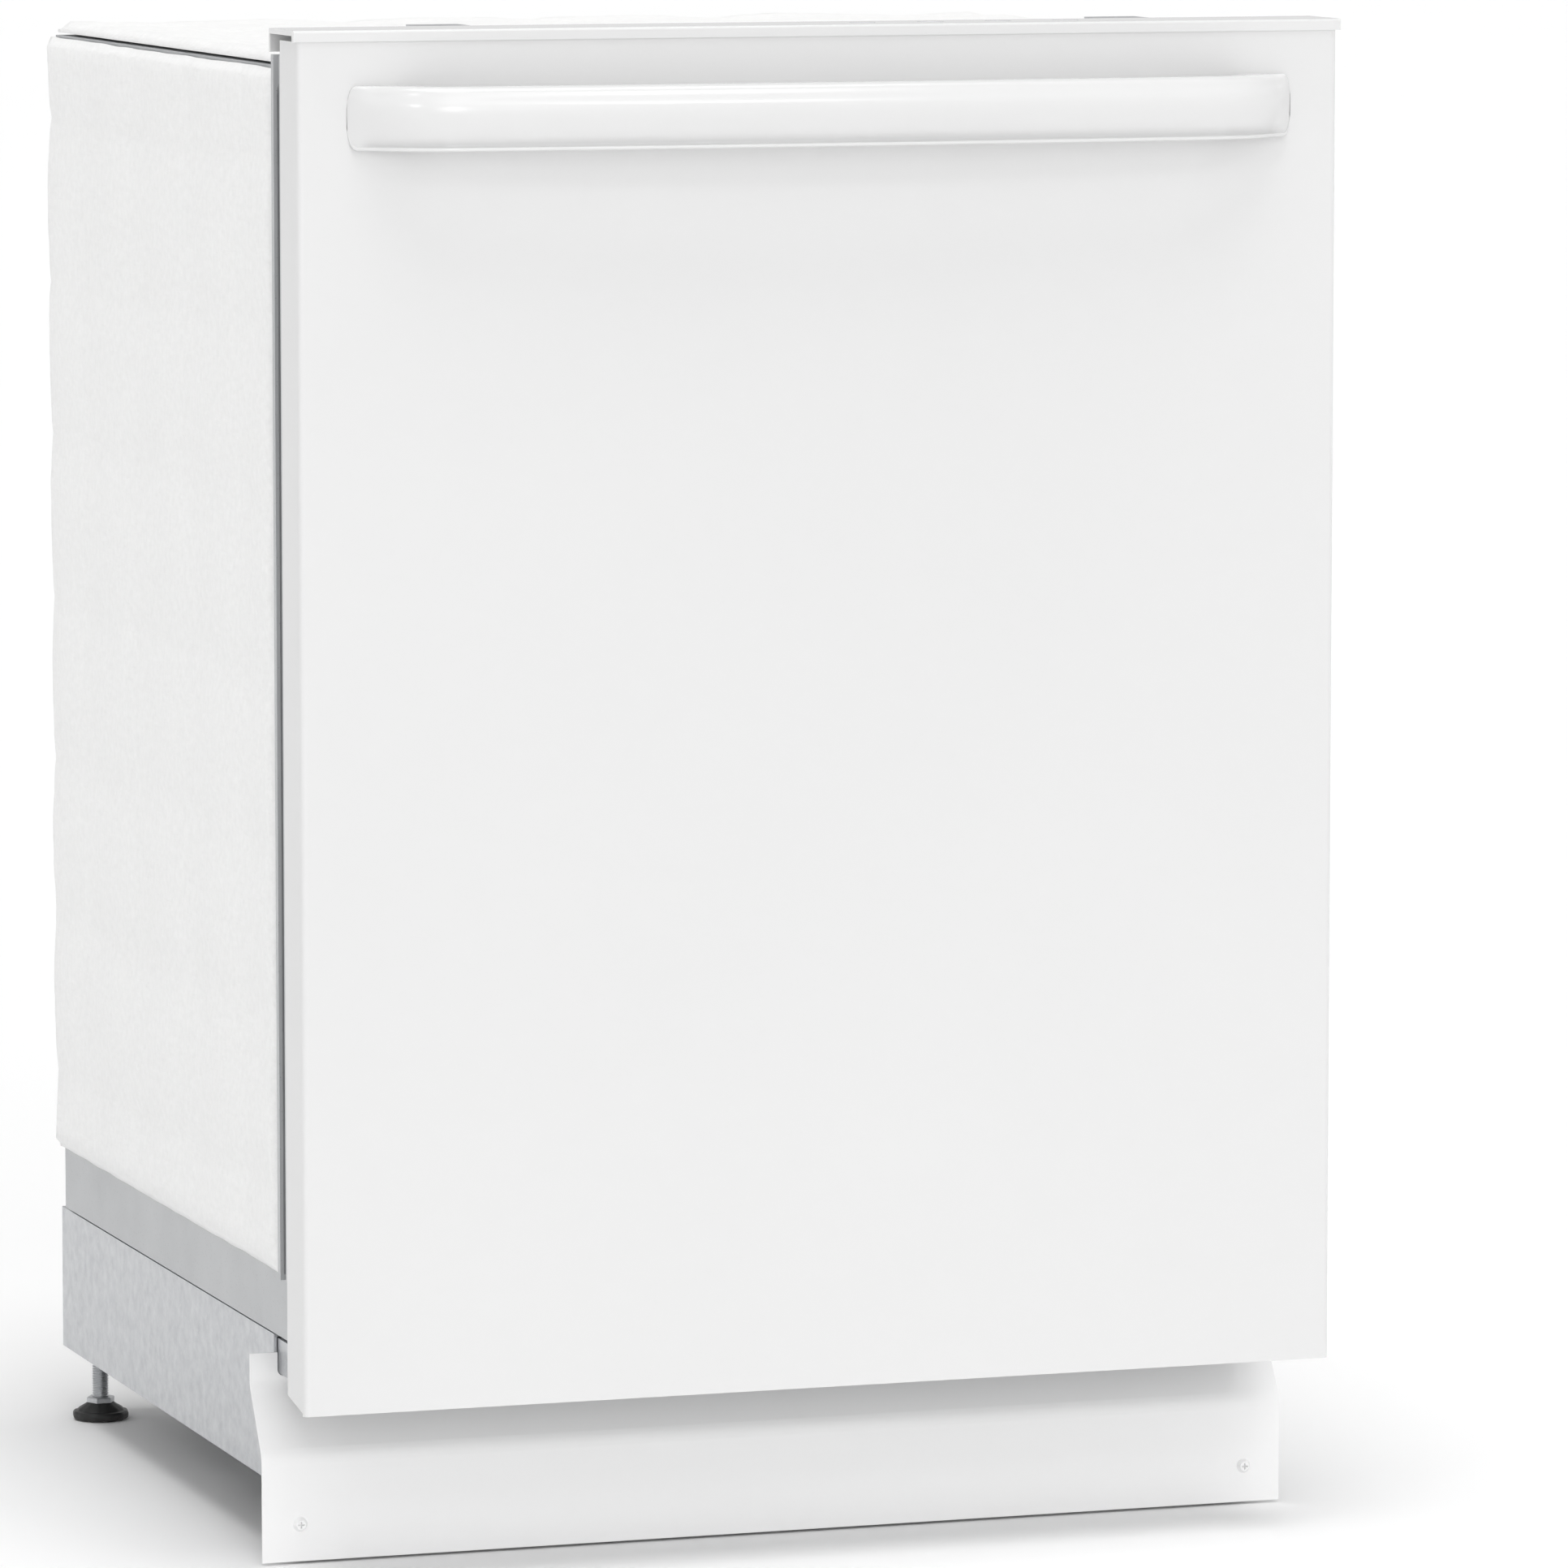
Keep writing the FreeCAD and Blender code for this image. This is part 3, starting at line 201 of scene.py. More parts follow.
M["rack_coating"] = material("rack_coating", (0.240, 0.262, 0.290), (0.285, 0.308, 0.338), 0.34, var_scale=30.0, rough_span=0.1, rough_scale=80.0, coat=0.2,
                             coat_rough=0.2, bumps=[("noise", 500.0, 0.12, 0.08, None)], wear=(26.0, 0.22, (0.34, 0.36, 0.38)))
M["heater_sheath"] = material("heater_sheath", (0.16, 0.14, 0.125), (0.30, 0.285, 0.27), 0.42, metallic=0.9, var_scale=34.0, rough_span=0.25, rough_scale=60.0,
                              bumps=[("noise", 420.0, 0.14, 0.05, None)], wear=(18.0, 0.34, (0.11, 0.10, 0.12)))
M["brass"] = material("brass", (0.60, 0.42, 0.17), (0.72, 0.53, 0.24), 0.30, metallic=1.0, var_scale=40.0, rough_span=0.14, rough_scale=90.0,
                      bumps=[("noise", 500.0, 0.08, 0.03, None)])
M["copper_wire"] = material("copper_wire", (0.42, 0.16, 0.07), (0.62, 0.27, 0.12), 0.28, metallic=1.0, var_scale=60.0, rough_span=0.12, rough_scale=120.0,
                            bumps=[("noise", 500.0, 0.2, 0.08, (1.0, 8.0, 8.0))])
M["mesh_screen"] = material("mesh_screen", g(0.30), g(0.46), 0.36, metallic=0.9, var_scale=200.0, rough_span=0.2, rough_scale=300.0,
                            specks=(900.0, 0.34, (0.05, 0.05, 0.05)), bumps=[("voronoi", 900.0, 0.6, 0.3, None)])
M["board_green"] = material("board_green", (0.02, 0.10, 0.05), (0.03, 0.14, 0.07), 0.35, var_scale=80.0, rough_span=0.1, rough_scale=100.0,
                            bumps=[("noise", 300.0, 0.1, 0.05, None)])


# ------------------------------------------------------------------ mesh building
class Build:
    """Collects vertices and faces in mm, then makes one object in metres."""

    def __init__(self):
        self.v, self.f, self.mi, self.cur = [], [], [], 0

    def use(self, k):
        self.cur = k

    def face(self, *idx):
        self.f.append(tuple(idx))
        self.mi.append(self.cur)

    def grid(self, rings, closed_ring=True, closed_path=False, cap0=None, cap1=None):
        """Joins rings of points. cap0 and cap1 are single points that close the ends."""
        n = len(rings[0])
        base = len(self.v)
        for r in rings:
            self.v.extend(tuple(p) for p in r)
        m = len(rings)
        span = n if closed_ring else n - 1
        for i in range(m if closed_path else m - 1):
            a, b = base + i * n, base + ((i + 1) % m) * n
            for j in range(span):
                k = (j + 1) % n
                self.face(a + j, a + k, b + k, b + j)
        for cap, row, flip in ((cap0, 0, True), (cap1, m - 1, False)):
            if cap is not None:
                c = len(self.v)
                self.v.append(tuple(cap))
                for j in range(span):
                    k = (j + 1) % n
                    a, b = base + row * n + j, base + row * n + k
                    self.face(*((b, a, c) if flip else (a, b, c)))

    def sweep(self, pts, r, sides=8, closed=False, twist=0.0, section=None, tip=True):
        """Sweeps a circle, or a closed section of (u, v) points, along pts. r is a number or a function of the distance."""
        pts = [Vector(p) for p in pts]
        n = len(pts)
        tans = []
        for i in range(n):
            a = pts[(i - 1) % n] if (closed or i > 0) else pts[i]
            b = pts[(i + 1) % n] if (closed or i < n - 1) else pts[i]
            t = b - a
            tans.append(t.normalized() if t.length > 1e-9 else Vector((0, 0, 1)))
        up = Vector((0, 0, 1)) if abs(tans[0].z) < 0.9 else Vector((0, 1, 0))
        nrm = (up - tans[0] * up.dot(tans[0])).normalized()
        frames, dist, d = [], [], 0.0
        for i in range(n):
            if i:
                d += (pts[i] - pts[i - 1]).length
                nrm = (nrm - tans[i] * nrm.dot(tans[i]))
                nrm = nrm.normalized() if nrm.length > 1e-9 else tans[i].orthogonal().normalized()
            frames.append((nrm.copy(), tans[i].cross(nrm)))
            dist.append(d)
        rings = []
        for i in range(n):
            u, w = frames[i]
            rr = r(dist[i]) if callable(r) else r
            if section:
                rings.append([pts[i] + u * (s[0] * rr) + w * (s[1] * rr) for s in section])
            else:
                rings.append([pts[i] + (u * math.cos(2 * PI * k / sides + twist) + w * math.sin(2 * PI * k / sides + twist)) * rr for k in range(sides)])
        if closed:
            self.grid(rings, True, True)
        elif tip and not section:
            r0 = r(0.0) if callable(r) else r
            r1 = r(dist[-1]) if callable(r) else r

            def end(i, rr, sign):
                u, w = frames[i]
                t = tans[i] * sign
                return [[pts[i] + t * (rr * 0.32) + (u * math.cos(2 * PI * k / sides) + w * math.sin(2 * PI * k / sides)) * (rr * 0.72) for k in range(sides)]], pts[i] + t * (rr * 0.45)
            a, ca = end(0, r0, -1)
            b, cb = end(n - 1, r1, 1)
            self.grid(a + rings + b, True, False, ca, cb)
        else:
            c0 = sum(rings[0], Vector()) / len(rings[0])
            c1 = sum(rings[-1], Vector()) / len(rings[-1])
            self.grid(rings, True, False, c0, c1)

    def lathe(self, profile, centre, axis="z", sides=32, flute=None, caps=True):
        """profile holds (radius, height) pairs along the axis, from centre. flute(k) scales the radius at each step round."""
        ax = "xyz".index(axis)
        o1, o2 = [(1, 2), (2, 0), (0, 1)][ax]
        rings = []
        for rad, h in profile:
            ring = []
            for k in range(sides):
                a = 2 * PI * k / sides
                rr = rad * (flute(k) if flute else 1.0)
                p = [0.0, 0.0, 0.0]
                p[ax] = centre[ax] + h
                p[o1] = centre[o1] + rr * math.cos(a)
                p[o2] = centre[o2] + rr * math.sin(a)
                ring.append(p)
            rings.append(ring)
        if caps:
            c0, c1 = list(centre), list(centre)
            c0[ax] += profile[0][1]
            c1[ax] += profile[-1][1]
            self.grid(rings, True, False, c0, c1)
        else:
            self.grid(rings, True, True)

    def block(self, x0, x1, y0, y1, z0, z1, r=0.8, seg=2):
        """A box with rounded edges."""
        bm = bmesh.new()
        bmesh.ops.create_cube(bm, size=1.0)
        for v in bm.verts:
            v.co = Vector(((x0 + x1) / 2 + v.co.x * (x1 - x0), (y0 + y1) / 2 + v.co.y * (y1 - y0), (z0 + z1) / 2 + v.co.z * (z1 - z0)))
        r = min(r, 0.45 * min(x1 - x0, y1 - y0, z1 - z0))
        if r > 0.01:
            bmesh.ops.bevel(bm, geom=list(bm.edges), offset=r, segments=seg, profile=0.5, affect="EDGES", clamp_overlap=True)
        bm.verts.index_update()
        base = len(self.v)
        self.v.extend(tuple(v.co) for v in bm.verts)
        for f in bm.faces:
            self.face(*[base + v.index for v in f.verts])
        bm.free()

    def obj(self, name, mats, body, angle=38.0, stands_for=(), weighted=False):
        me = bpy.data.meshes.new(name)
        me.from_pydata([(x * MM, y * MM, z * MM) for x, y, z in self.v], [], self.f)
        for m in mats:
            me.materials.append(M[m])
        me.polygons.foreach_set("material_index", self.mi)
        me.update()
        bm = bmesh.new()
        bm.from_mesh(me)
        bmesh.ops.remove_doubles(bm, verts=bm.verts, dist=1e-7)
        bmesh.ops.dissolve_degenerate(bm, edges=bm.edges, dist=1e-7)
        bmesh.ops.recalc_face_normals(bm, faces=bm.faces)
        bm.to_mesh(me)
        bm.free()
        me.polygons.foreach_set("use_smooth", [True] * len(me.polygons))
        me.set_sharp_from_angle(angle=math.radians(angle))
        o = bpy.data.objects.new(name, me)
        scene.collection.objects.link(o)
        if weighted:
            w = o.modifiers.new("normals", "WEIGHTED_NORMAL")
            w.keep_sharp = True
        if body:
            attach(o, body)
        if stands_for:
            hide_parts(*stands_for)
        return o


def bend(pts, rad, seg=6, closed=False):
    """The points of a formed wire: straight runs joined by arcs of radius rad."""
    pts = [Vector(p) for p in pts]
    n = len(pts)
    out = []
    for i in range(n):
        if not closed and i in (0, n - 1):
            out.append(pts[i])
            continue
        a, b, c = pts[(i - 1) % n], pts[i], pts[(i + 1) % n]
        u, w = (a - b), (c - b)
        lu, lw = u.length, w.length
        u.normalize()
        w.normalize()
        ang = u.angle(w)
        if ang > PI - 0.02:
            out.append(b)
            continue
        rr = min(rad[i] if hasattr(rad, "__len__") else rad, 0.48 * min(lu, lw) * math.tan(ang / 2))
        back = rr / math.tan(ang / 2)
        m = (u + w).normalized()
        cen = b + m * (rr / math.sin(ang / 2))
        e1, e2 = (b + u * back) - cen, (b + w * back) - cen
        tot = e1.angle(e2)
        ax = e1.cross(e2).normalized()
        for k in range(seg + 1):
            out.append(cen + Matrix.Rotation(tot * k / seg, 3, ax) @ e1)
    return out


def split(a, b, n):
    a, b = Vector(a), Vector(b)
    return [a.lerp(b, k / n) for k in range(n + 1)]


def smooth(t):
    t = max(0.0, min(1.0, t))
    return t * t * (3 - 2 * t)


# ------------------------------------------------------------------ camera and light
cam = bpy.data.cameras.new("camera")
cam.lens = 221.57
cam.sensor_width = 36.0
cam.sensor_fit = "HORIZONTAL"
cam.clip_end = 200.0
co = bpy.data.objects.new("camera", cam)
co.location = (-1.7125, -5.3321, 1.0472)
co.rotation_euler = (math.radians(90 - 6.508), 0.0, math.radians(-18.461))
scene.collection.objects.link(co)
scene.camera = co
scene.view_settings.view_transform = "Standard"
scene.view_settings.look = "None"
scene.view_settings.exposure = 0.0
scene.view_settings.gamma = 1.0

world = bpy.data.worlds.new("studio")
scene.world = world
world.use_nodes = True
wt = world.node_tree
wn = wt.nodes["Background"]
wn.inputs["Strength"].default_value = 1.0
sep = wt.nodes.new("ShaderNodeSeparateXYZ")
link(wt, wt.nodes.new("ShaderNodeTexCoord").outputs["Generated"], sep.inputs["Vector"])
front = wt.nodes.new("ShaderNodeMapRange")
for k, v in (("From Min", -1.0), ("From Max", 0.45), ("To Min", 0.0), ("To Max", 1.0)):
    front.inputs[k].default_value = v
link(wt, sep.outputs["Y"], front.inputs["Value"])
sky = wt.nodes.new("ShaderNodeMix")
sky.data_type = "RGBA"
sky.blend_type = "MULTIPLY"
sky.inputs["Factor"].default_value = 1.0
link(wt, ramp(wt, sep.outputs["Z"], [(0.0, 0.90), (1.0, 0.50)]), sky.inputs[6])
link(wt, ramp(wt, front.outputs["Result"], [(0.0, 1.0), (1.0, 0.80)]), sky.inputs[7])
link(wt, sky.outputs[2], wn.inputs["Color"])


def aim(o, target):
    o.rotation_euler = (Vector(target) - o.location).to_track_quat("-Z", "Y").to_euler()


def sun(name, direction, strength, angle):
    d = bpy.data.lights.new(name, "SUN")
    d.energy = strength
    d.angle = math.radians(angle)
    o = bpy.data.objects.new(name, d)
    o.location = (0, 0, 3)
    o.rotation_euler = Vector(direction).to_track_quat("-Z", "Y").to_euler()
    scene.collection.objects.link(o)


def area(name, loc, target, size, size_y, power):
    d = bpy.data.lights.new(name, "AREA")
    d.shape = "RECTANGLE"
    d.size, d.size_y = size, size_y
    d.energy = power
    o = bpy.data.objects.new(name, d)
    o.location = loc
    scene.collection.objects.link(o)
    aim(o, target)


sun("front_light", (0.05, 1.0, -0.19), 0.36, 22.0)
sun("upper_light", (0.0, 1.0, -0.84), 0.16, 24.0)
sun("top_light", (0.0, 0.176, -1.0), 1.50, 40.0)
area("softbox_left", (-2.3, -2.7, 2.2), (-0.2, -0.3, 0.8), 0.40, 0.45, 5.0)
area("softbox_right", (0.93, -3.48, 2.75), (-0.1, -0.3, 0.8), 0.45, 0.40, 6.0)

fl = bpy.data.meshes.new("floor")
fl.from_pydata([(-60, -60, 0), (60, -60, 0), (60, 60, 0), (-60, 60, 0)], [], [(0, 1, 2, 3)])
M["floor"] = material("floor_pale", g(0.955), g(0.965), 0.85, var_scale=0.4, rough_span=0.04, rough_scale=2.0)
fl.materials.append(M["floor"])
fo = bpy.data.objects.new("floor", fl)
fo.location = (0, 0, -0.0006)
scene.collection.objects.link(fo)

# ------------------------------------------------------------------ CAD nodes that stay, with eased edges
ease = {
    "tub": 1.6, "base_frame": 0.5, "hinge_brackets": 0.5, "hinge_pins": 0.5, "counter_brackets": 0.35, "latch_strike": 0.3,
    "sump": 2.0, "filter_plate": 0.4, "lower_arm_hub": 0.9, "wash_pump_housing": 1.6, "drain_pump": 1.4, "water_feed_tube": 3.2,
    "inlet_valve": 1.3, "junction_box": 0.7, "rack_rails": 0.5, "door_inner_liner": 1.2, "hinge_arms": 0.4,
    "control_board": 0.8, "detergent_dispenser": 1.4, "upper_arm_manifold": 1.8, "rack_slides": 0.9,
    "pump_impeller": 0.6, "lower_spray_arm": 0.9, "top_spray_arm": 0.9, "upper_spray_arm": 0.9,
    "detergent_lid": 0.6, "rinse_aid_cap": 0.8, "latch_hook": 0.35, "button_start": 0.5, "button_cycle": 0.5,
    "button_dry": 0.5, "button_delay": 0.5, "toe_kick_screws": 0.15,
}
slot_of = {s["node"]: s["material_slot"] for s in frame["record"]["subparts"]}
for name, o in nodes.items():
    # The toe kick and its screws take the brightened enamel, which paints light onto the shaded recess under the door.
    m = M["toe_enamel_painted_light" if name in ("toe_kick", "toe_kick_screws") else slot_of[name]]
    if o.material_slots:
        for s in o.material_slots:
            s.material = m
    else:
        o.data.materials.append(m)
    if name in ease:
        w = o.modifiers.new("weld", "WELD")
        w.merge_threshold = 0.00001
        b = o.modifiers.new("edges", "BEVEL")
        b.width = ease[name] * MM
        b.segments = 2
        b.limit_method = "ANGLE"
        b.angle_limit = math.radians(40)
        b.use_clamp_overlap = True
        b.harden_normals = False
        b.miter_outer = "MITER_ARC"
        nrm = o.modifiers.new("normals", "WEIGHTED_NORMAL")
        nrm.keep_sharp = True


# ------------------------------------------------------------------ handle
def handle():
    b = Build()
    f0, half, z0, z1 = -275.5, 275.0, 794.7, 829.7
    zc, hz = (z0 + z1) / 2, (z1 - z0) / 2

    def circle3(p, q, s):
        (ax, ay), (bx, by), (cx, cy) = p, q, s
        d = 2 * (ax * (by - cy) + bx * (cy - ay) + cx * (ay - by))
        ux = ((ax * ax + ay * ay) * (by - cy) + (bx * bx + by * by) * (cy - ay) + (cx * cx + cy * cy) * (ay - by)) / d
        uy = ((ax * ax + ay * ay) * (cx - bx) + (bx * bx + by * by) * (ax - cx) + (cx * cx + cy * cy) * (bx - ax)) / d
        return ux, uy, math.hypot(ax - ux, ay - uy)

    bow = circle3((-229.0, -310.0), (0.0, -317.5), (229.0, -310.0))
    inn = circle3((-223.0, -297.5), (0.0, -303.5), (223.0, -297.5))

    def y_out(x):
        x = abs(x)
        yb = bow[1] - math.sqrt(max(0.0, bow[2] ** 2 - x * x)) if bow[1] > -310 else bow[1] + math.sqrt(bow[2] ** 2 - x * x)
        d = half - x
        if d >= 62.0:
            return yb
        t = d / 62.0
        yb62 = yb
        rise = 1.0 - (1.0 - t) ** 2.55
        return f0 + (yb62 - f0) * min(1.0, rise)

    def y_in(x):
        x = abs(x)
        if x >= 251.0:
            return f0
        if x >= 223.0:
            t = smooth((251.0 - x) / 28.0)
            return f0 + (-297.5 - f0) * t
        return inn[1] - math.sqrt(max(0.0, inn[2] ** 2 - x * x))

    xs = []
    n_end = 26
    for k in range(n_end + 1):
        t = k / n_end
        xs.append(-half + 72.0 * (t ** 1.7))
    k = xs[-1]
    while k < 0:
        k += 9.0
        if k < -1:
            xs.append(k)
    xs = xs + [0.0] + [-x for x in reversed(xs)]
    rings = []
    for x in xs:
        yo, yi = y_out(x), y_in(x)
        d = half - abs(x)
        cap_d = 5.5
        u = 1 - min(1.0, d / cap_d)
        h = max(hz * (1 - u ** 2.6) ** (1 / 2.6), hz * 0.34)
        t = max(0.6, yi - yo)
        k = min(1.0, t / 14.0)
        ro = min(5.0, 0.4 * t, 0.8 * h)
        ri = min(3.0, 0.30 * t, 0.4 * h)
        low, top = zc - h, zc + h
        ring = []

        def arc(cy, cz, r, a0, a1, n):
            for q in range(n + 1):
                a = math.radians(a0 + (a1 - a0) * q / n)
                ring.append((x, cy + r * math.cos(a), cz + r * math.sin(a)))
        # a rounded top edge, a full front that rolls back lower down, a cove, and a thin lip along the bottom
        back_top, back_low, lip_y = 2.8 * k, 8.0 * k, 3.6 * k
        lip_h, cove = min(1.9, 0.12 * h), min(3.6, 0.22 * h)
        arc(yo + ro + back_top, top - ro, ro, 90, 180, 6)
        zt, zb = top - ro, low + cove
        zm = zb + 0.68 * (zt - zb)
        for q in range(1, 15):
            z = zt + (zb - zt) * q / 14
            if z >= zm:
                ring.append((x, yo + back_top * ((z - zm) / (zt - zm)) ** 2, z))
            else:
                ring.append((x, yo + back_low * ((zm - z) / (zm - zb)) ** 1.8, z))
        ring.append((x, yo + back_low - 0.1 * k, low + lip_h + 0.35 * (cove - lip_h)))
        ring.append((x, yo + back_low - 0.9 * k, low + lip_h))
        ring.append((x, yo + lip_y + 0.5 * k, low + lip_h))
        ring.append((x, yo + lip_y, low + 0.6 * lip_h))
        ring.append((x, yo + lip_y + 0.2 * k, low + 0.15 * lip_h))
        ring.append((x, yo + lip_y + 0.9 * k, low))
        arc(yi - ri, low + ri, ri, 270, 360, 3)
        for q in range(1, 3):
            ring.append((x, yi, low + ri + (top - low - 2 * ri) * q / 3))
        arc(yi - ri, top - ri, ri, 0, 90, 3)
        rings.append(ring)
    b.grid(rings, True, False, (-half - 0.0, f0 - 0.2, zc), (half + 0.0, f0 - 0.2, zc))
    return b.obj("handle_bar", ["white_plastic"], "door", 60, ("door_handle",))


handle()


# ------------------------------------------------------------------ soft insulation
def pad(name, lo_, hi_, thin, outward, body, node, pitch=(118.0, 96.0), seed=0.0):
    """A needled fibre mat: stitched channels and a soft uneven face, thinning to a pressed edge."""
    b = Build()
    axes = [k for k in range(3) if k != thin]
    l0, l1 = hi_[axes[0]] - lo_[axes[0]], hi_[axes[1]] - lo_[axes[1]]
    n0, n1 = max(8, int(l0 / 7.0)), max(8, int(l1 / 7.0))
    t = hi_[thin] - lo_[thin]

    def point(i, j, side):
        u, v = l0 * i / n0, l1 * j / n1
        d = min(u, l0 - u, v, l1 - v)
        edge = math.sqrt(max(0.0, 1 - (1 - min(1.0, d / 9.0)) ** 2))
        q = abs(math.sin(PI * (u + 0.5 * pitch[0]) / pitch[0])) ** 0.55 * 0.5 + abs(math.sin(PI * (v + 0.5 * pitch[1]) / pitch[1])) ** 0.55 * 0.5
        nz = noise.noise(Vector((u * 0.021 + seed, v * 0.021, seed))) * 0.10 + noise.noise(Vector((u * 0.09, v * 0.09 + seed, 3.1))) * 0.05
        face = min(1.0, max(0.16, (0.34 + 0.56 * q + nz)))
        wob = 0.7 * noise.noise(Vector((u * 0.03 + 9.0, v * 0.03, seed)))
        p = [0.0, 0.0, 0.0]
        inset = 0.6 + (wob + 0.7 if d < 1e-6 else 0.0)
        p[axes[0]] = lo_[axes[0]] + min(max(u, inset), l0 - inset)
        p[axes[1]] = lo_[axes[1]] + min(max(v, inset), l1 - inset)
        a = 0.04 * t + 0.10 * t * (1 - edge)
        z = a + (t * 0.96 * face * edge if side else 0.0) + (0.22 * t if side else 0.0) * (1 - edge)
        z = min(z, t * 0.995)
        p[thin] = lo_[thin] + z if outward > 0 else hi_[thin] - z
        return p

    out = [[point(i, j, True) for j in range(n1 + 1)] for i in range(n0 + 1)]
    inn = [[point(i, j, False) for j in range(n1 + 1)] for i in range(n0 + 1)]
    b.grid(out, False)
    b.grid(inn, False)
    rim = [(i, 0) for i in range(n0)] + [(n0, j) for j in range(n1)] + [(i, n1) for i in range(n0, 0, -1)] + [(0, j) for j in range(n1, 0, -1)]
    b.grid([[out[i][j] for i, j in rim], [inn[i][j] for i, j in rim]], True)
    o = b.obj(name, ["fleece"], body, 75, (node,))
    return o


pad("blanket_left", (-300.6, -204, 165), (-292.4, 299.6, 838), 0, -1, "root", "insulation_blanket", seed=1.3)
pad("blanket_right", (292.4, -204, 165), (300.6, 299.6, 838), 0, 1, "root", "insulation_blanket", seed=2.7)
pad("blanket_top", (-292, -178, 838.4), (292, 299.6, 847), 2, 1, "root", "insulation_blanket", seed=4.1)
pad("blanket_back", (-292, 300.4, 150), (292, 309, 836), 1, 1, "root", "insulation_blanket", seed=5.9)
pad("door_mat", (-276, -273.6, 142), (276, -243.2, 770), 1, -1, "door", "door_insulation", pitch=(138.0, 126.0), seed=7.7)


# ------------------------------------------------------------------ gasket, bottom seal
def gasket():
    b = Build()
    path = bend([(-294, 0, 168.6), (-294, 0, 838.6), (294, 0, 838.6), (294, 0, 168.6)], 16.0, 10)
    sec = []
    # across the strip (u) and out of the tub (v): a base with two feet, and a hollow-looking bulb on it
    prof = [(-4.0, 0.0), (-4.0, 2.0), (-2.6, 2.6), (-2.3, 3.6), (-3.6, 5.2), (-3.9, 7.0), (-3.0, 8.9), (-1.2, 10.0), (0.8, 10.1), (2.6, 9.2), (3.7, 7.4),
            (3.6, 5.4), (2.3, 3.6), (2.6, 2.6), (4.0, 2.0), (4.0, 0.0), (1.6, 0.35), (0.0, 0.9), (-1.6, 0.35)]
    rings = []
    n = len(path)
    for i, p in enumerate(path):
        a = path[max(0, i - 1)]
        c = path[min(n - 1, i + 1)]
        t = (c - a).normalized()
        side = Vector((t.z, 0, -t.x))
        rings.append([(p.x + side.x * u, -217.3 - v, p.z + side.z * u) for u, v in prof])
    pts = []
    for k in range(len(rings) - 1):
        a, c = rings[k], rings[k + 1]
        d = (Vector(a[0]) - Vector(c[0])).length
        m = max(1, int(d / 24))
        for q in range(m):
            pts.append([tuple(Vector(x).lerp(Vector(y), q / m)) for x, y in zip(a, c)])
    pts.append(rings[-1])
    b.grid(pts, True, False, tuple(sum((Vector(p) for p in pts[0]), Vector()) / len(prof)), tuple(sum((Vector(p) for p in pts[-1]), Vector()) / len(prof)))
    b.obj("door_gasket", ["gasket_rubber"], "root", 50, ("tub_gasket",))


gasket()


def bottom_seal():
    b = Build()
    prof = [(0.2, 104.2), (0.2, 112.8), (1.6, 113.0), (2.0, 110.6), (3.2, 110.2), (5.4, 112.0), (8.2, 112.6), (8.8, 111.6), (6.4, 110.2), (4.4, 108.4),
            (3.4, 106.9), (4.6, 106.2), (7.2, 106.8), (8.4, 106.0), (6.0, 104.6), (3.2, 104.2)]
    rings = []
    for k in range(41):
        x = -268 + 536 * k / 40
        rings.append([(x, -227.9 + u, z) for u, z in prof])
    c = (sum(-227.9 + u for u, z in prof) / len(prof), sum(z for u, z in prof) / len(prof))
    b.grid(rings, True, False, (-268, c[0], c[1]), (268, c[0], c[1]))
    for x in (-240, -120, 0, 120, 240):
        b.lathe([(3.4, 0.0), (3.4, 0.8), (2.4, 1.5), (0.6, 1.7)], (x, -227.6, 108.6), "y", 16)
    b.obj("bottom_seal_strip", ["rubber"], "door", 35, ("bottom_seal",))


bottom_seal()


